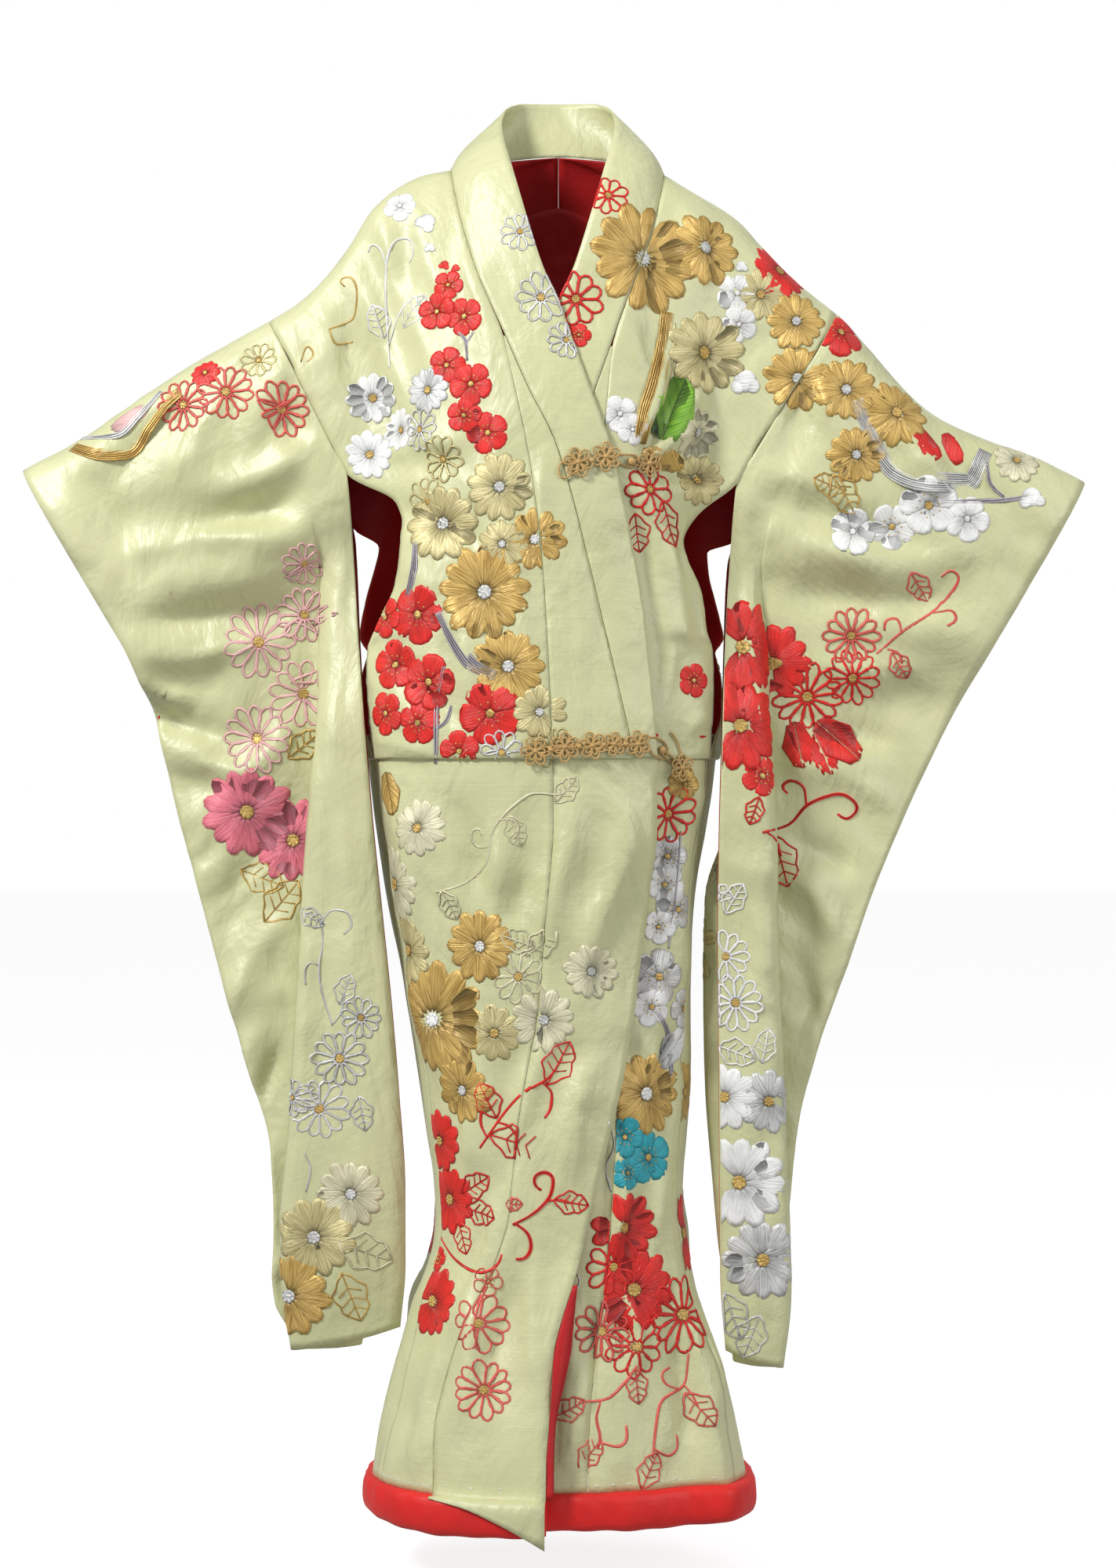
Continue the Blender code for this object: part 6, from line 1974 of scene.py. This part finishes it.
def build_sleeves(grids):
    """Makes the silk of the sleeves, lined in red."""
    both = [materials["silk"], materials["lining"]]
    for side in ("right", "left"):
        name = f"sleeve_{side}"
        push = sleeve_push(*grids[name])
        piece = add_cloth(f"{name}_silk", name, *grids[name], both, push, lift=near_seam)
        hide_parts(name)


def build_collar(grids):
    """Makes the collar, a band folded double, so that both of its faces are silk."""
    silk = [materials["silk"]] * 2
    piece = add_cloth("collar_silk", "collar", *grids["collar"], silk, spacing=(7.0, 6.0), wall=COLLAR_WALL)
    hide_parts("collar")


def build_linings(grids):
    """Makes the linings that show inside the back and the sleeves, and the facing at the lower front edge."""
    red = [materials["lining"]] * 2
    first = neck_row("right") + len(COLLAR_EDGE_NECK) + 1
    last = len(lower_rows()) + len(UPPER["right"]) + 1

    def both(index):
        right, left = grids["body_right"][index], grids["body_left"][index]
        return np.concatenate([right[first:last, :0:-1], left[first:last]], axis=1)

    piece = add_cloth("body_lining_silk", "right", both(0), both(1), red, sunk=WALL / 2 + 0.8, wall=0.9)
    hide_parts("body_lining")
    for side in ("right", "left"):
        coarse, normals = grids[f"sleeve_{side}"]
        count = len(SLEEVE[side]) - 1
        rows, columns = slice(-count, -1), slice(0, SLEEVE_STEPS[0])
        name = f"sleeve_lining_{side}"
        push = sleeve_push(coarse, normals)[rows, columns]
        piece = add_cloth(
            f"{name}_silk", f"sleeve_{side}", coarse[rows, columns], normals[rows, columns], red, push,
            sunk=WALL / 2 + 0.7, wall=0.8, lift=near_seam,
        )
        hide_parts(name)
    rows = []
    for z in [z for z in SKIRT_ROWS if z < FACING_WIDTH[0][0]]:
        start = float(spline(FRONT_EDGE["right"], z)) + SEAM_GAP
        width = float(spline(FACING_WIDTH, z))
        row = []
        for t in (0.0, 0.5, 1.0):
            point = skirt_point(angle_at(start + width * t, z), z, "right")
            row.append(point + np.array([0, 1.5 * t, 0]))
        rows.append(row)
    grid = np.array(rows)
    piece = add_cloth("front_facing_silk", "right", grid, -normals_of(grid), red)
    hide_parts("front_facing")


# The section of the padded hem: shares of its thickness and of its height, outwards and down from its top.
ROLL_SECTION = [
    (0.5, 0.0), (0.8, 0.08), (0.97, 0.22), (1.0, 0.42), (1.0, 0.62), (0.93, 0.78), (0.78, 0.9), (0.54, 0.97),
    (0.25, 1.0), (-0.1, 1.0), (-0.42, 0.99), (-0.68, 0.93), (-0.88, 0.8), (-0.98, 0.62), (-1.0, 0.4),
    (-0.97, 0.2), (-0.82, 0.08), (-0.55, 0.0), (0.0, -0.01),
]


def hem_line(panels, overlaps):
    """The lower edges of all panels, from the right front edge round the back to the left one."""
    parts = [
        overlaps["right"][-1][::-1], panels["right"][0][1:], panels["right"][-1][::-1][1:],
        panels["left"][-1][1:], panels["left"][0][::-1][1:], overlaps["left"][-1][1:],
    ]
    return np.concatenate(parts)


def build_hem(panels, overlaps):
    """Makes the padded red roll along the hem, puckered along its quilting stitches."""
    path = hem_line(panels, overlaps)
    fine, _, places = resample(path[:, None], np.zeros((len(path), 1, 1)), 5.0, 0)
    path = fine[:, 0]
    way = np.diff(path, axis=0)
    way = unit(np.concatenate([way[:1], way])) + unit(np.concatenate([way, way[-1:]]))
    out = unit(np.cross(way, [0, 0, 1.0])) * -1
    if np.sum(out * (path - path.mean(axis=0))) < 0:
        out = -out
    top = SKIRT_ROWS[-1] - SEAM_GAP
    chance = np.random.default_rng(31)
    ends = np.minimum(places, places[-1] - places)
    full = np.sqrt(np.clip(ends / 40.0, 0.02, 1)) * 0.75 + 0.25
    tight = 0.5 + 0.5 * np.cos(places / 26.0 * 2 * math.pi + 0.8 * np.sin(places / 60))
    uneven = 1 + 0.05 * smooth_noise(places, places * 0, 120, 8)
    uneven = uneven + 0.02 * smooth_noise(places, places * 0, 30, 9)
    shifts = chance.uniform(-0.5, 0.5, len(places))
    points = []
    for i, (spot, side) in enumerate(zip(path, out)):
        for across, down in ROLL_SECTION:
            pull = 1 - 0.1 * tight[i] * math.exp(-(((down - 0.2) / 0.16) ** 2)) * (across > 0)
            ripple = 0.5 * math.sin(places[i] / 5.2 + 6 * down) * (1 - down) + 0.2 * shifts[i]
            reach = across * ROLL_THICK / 2 * full[i] * uneven[i] * pull
            height = top - down * ROLL_HEIGHT * (0.86 + 0.14 * full[i]) * uneven[i]
            spread = side * (reach + ripple * (0 < down < 1))
            points.append([spot[0] + spread[0], spot[1] + spread[1], height])
    n = len(ROLL_SECTION)
    faces = []
    for i in range(len(path) - 1):
        for j in range(n):
            k = (j + 1) % n
            faces.append((i * n + j, i * n + k, (i + 1) * n + k, (i + 1) * n + j))
    faces.append(tuple(range(n))[::-1])
    faces.append(tuple((len(path) - 1) * n + j for j in range(n)))
    a, b, c = (np.array(points[m]) for m in faces[0][:3])
    if np.dot(np.cross(b - a, c - a), out[0]) < 0:
        faces = [face[::-1] for face in faces]
    uv = np.array([[place * MM, j * 0.006] for place in places for j in range(n)])
    piece = add_mesh("hem_roll_padded", points, faces, [materials["roll"]], None, uv)
    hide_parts("hem_roll")


def build_stage():
    """A pale studio: a floor, a soft light from the upper left, a fill, a back light and the camera."""
    scene = bpy.context.scene
    bpy.ops.object.select_all(action="DESELECT")
    paper = Shade(
        "studio_paper", Base_Color=(0.3, 0.3, 0.3, 1), Roughness=0.9, Emission_Color=(1, 1, 1, 1),
        Emission_Strength=0.84,
    )
    paper.material.cycles.emission_sampling = "NONE"
    paper.bump(paper.noise(paper.place("Object", (1, 1, 1)), 300.0, 3.0), 0.0005, 0.2)
    bpy.ops.mesh.primitive_plane_add(size=40.0, location=(0, 0, -1.53))
    floor = bpy.context.object
    floor.name = "studio_floor"
    floor.visible_diffuse = False
    floor.visible_glossy = False
    floor.data.materials.append(paper.material)
    for name, size, place, target, power in (
        ("key", 1.0, (-2.6, -2.5, 2.1), (0, 0, -0.6), scene.kimono.light),
        ("fill", 2.4, (3.2, -2.4, 0.6), (0, 0, -0.7), 54),
        ("back", 2.0, (0.6, 3.2, 1.8), (0, 0, -0.4), 45),
    ):
        data = bpy.data.lights.new(name, "AREA")
        data.size = size
        data.energy = power
        light = bpy.data.objects.new(name, data)
        light.location = place
        light.rotation_euler = (Vector(target) - Vector(place)).to_track_quat("-Z", "Y").to_euler()
        light.visible_glossy = name != "back"
        scene.collection.objects.link(light)
    world = bpy.data.worlds.new("studio")
    world.use_nodes = True
    nodes, links = world.node_tree.nodes, world.node_tree.links
    sky = nodes["Background"]
    sky.inputs["Color"].default_value = (1, 1, 1, 1)
    seen = nodes.new("ShaderNodeMapRange")
    seen.inputs["To Min"].default_value = 0.35
    seen.inputs["To Max"].default_value = 1.0
    links.new(nodes.new("ShaderNodeLightPath").outputs["Is Camera Ray"], seen.inputs["Value"])
    links.new(seen.outputs["Result"], sky.inputs["Strength"])
    scene.world = world
    scene.view_settings.view_transform = "Standard"
    data = bpy.data.cameras.new("camera")
    data.sensor_width = 36.0
    data.lens = data.sensor_width * CAMERA_DISTANCE / (IMAGE_HEIGHT * PIXEL)
    data.clip_end = 50
    camera = bpy.data.objects.new("camera", data)
    camera.location = Vector((CAMERA_X, -CAMERA_DISTANCE, CAMERA_Z)) * MM
    camera.rotation_euler = (math.pi / 2, 0, 0)
    scene.collection.objects.link(camera)
    scene.camera = camera


class KimonoSettings(bpy.types.PropertyGroup):
    crease: bpy.props.FloatProperty(
        name="Creases", description="Strength of the creases in the silk", default=1.0, min=0.0, max=1.5,
        subtype="FACTOR",
    )
    relief: bpy.props.FloatProperty(
        name="Thread height", description="How far a satin stitch stands off the silk", default=0.00075,
        unit="LENGTH",
    )
    cord: bpy.props.FloatProperty(
        name="Cord radius", description="Radius of the cord of the frogs", default=0.0011, unit="LENGTH",
    )
    light: bpy.props.FloatProperty(
        name="Main light", description="Power of the main light", default=170.0, unit="POWER",
    )


class KIMONO_OT_body(bpy.types.Operator):
    """Makes the silk of the body panels and the overlaps"""

    bl_idname = "kimono.body"
    bl_label = "Body"

    def execute(self, context):
        build_body(sewn_grids()[0])
        return {"FINISHED"}


class KIMONO_OT_sleeves(bpy.types.Operator):
    """Makes the silk of the two sleeves"""

    bl_idname = "kimono.sleeves"
    bl_label = "Sleeves"

    def execute(self, context):
        build_sleeves(sewn_grids()[0])
        return {"FINISHED"}


class KIMONO_OT_collar(bpy.types.Operator):
    """Makes the collar"""

    bl_idname = "kimono.collar"
    bl_label = "Collar"

    def execute(self, context):
        build_collar(sewn_grids()[0])
        return {"FINISHED"}


class KIMONO_OT_linings(bpy.types.Operator):
    """Makes the red linings and the front facing"""

    bl_idname = "kimono.linings"
    bl_label = "Linings"

    def execute(self, context):
        build_linings(sewn_grids()[0])
        return {"FINISHED"}


class KIMONO_OT_hem(bpy.types.Operator):
    """Makes the padded hem"""

    bl_idname = "kimono.hem"
    bl_label = "Padded hem"

    def execute(self, context):
        build_hem(*sewn_grids()[1:])
        return {"FINISHED"}


class KIMONO_OT_embroidery(bpy.types.Operator):
    """Sews flowers, leaves and stems on the silk"""

    bl_idname = "kimono.embroidery"
    bl_label = "Embroidery"

    def execute(self, context):
        build_embroidery()
        return {"FINISHED"}


class KIMONO_OT_frogs(bpy.types.Operator):
    """Ties the frogs of gold cord"""

    bl_idname = "kimono.frogs"
    bl_label = "Frogs"

    def execute(self, context):
        build_frogs(Sewing(outer_cloth()))
        return {"FINISHED"}


class KIMONO_OT_stitches(bpy.types.Operator):
    """Sews the stitches along the hem"""

    bl_idname = "kimono.stitches"
    bl_label = "Stitches"

    def execute(self, context):
        build_stitches(Sewing(outer_cloth()))
        return {"FINISHED"}


class KIMONO_OT_stage(bpy.types.Operator):
    """Sets up the floor, the lights and the camera"""

    bl_idname = "kimono.stage"
    bl_label = "Studio"

    def execute(self, context):
        build_stage()
        return {"FINISHED"}


class KIMONO_PT_panel(bpy.types.Panel):
    bl_label = "Kimono"
    bl_idname = "KIMONO_PT_panel"
    bl_space_type = "VIEW_3D"
    bl_region_type = "UI"
    bl_category = "Kimono"

    def draw(self, context):
        for name in ("crease", "relief", "cord", "light"):
            self.layout.prop(context.scene.kimono, name)
        for operator in OPERATORS:
            self.layout.operator(operator.bl_idname)


OPERATORS = [
    KIMONO_OT_body, KIMONO_OT_sleeves, KIMONO_OT_collar, KIMONO_OT_linings, KIMONO_OT_hem,
    KIMONO_OT_embroidery, KIMONO_OT_frogs, KIMONO_OT_stitches, KIMONO_OT_stage,
]
CLASSES = [KimonoSettings, *OPERATORS, KIMONO_PT_panel]


def register():
    for kind in CLASSES:
        bpy.utils.register_class(kind)
    bpy.types.Scene.kimono = bpy.props.PointerProperty(type=KimonoSettings)


def unregister():
    del bpy.types.Scene.kimono
    for kind in reversed(CLASSES):
        bpy.utils.unregister_class(kind)


def main():
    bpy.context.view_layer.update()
    register()
    make_materials()
    bpy.ops.kimono.body()
    bpy.ops.kimono.sleeves()
    bpy.ops.kimono.collar()
    bpy.ops.kimono.linings()
    bpy.ops.kimono.hem()
    bpy.ops.kimono.embroidery()
    bpy.ops.kimono.frogs()
    bpy.ops.kimono.stitches()
    bpy.ops.kimono.stage()


if __name__ == "__main__":
    main()
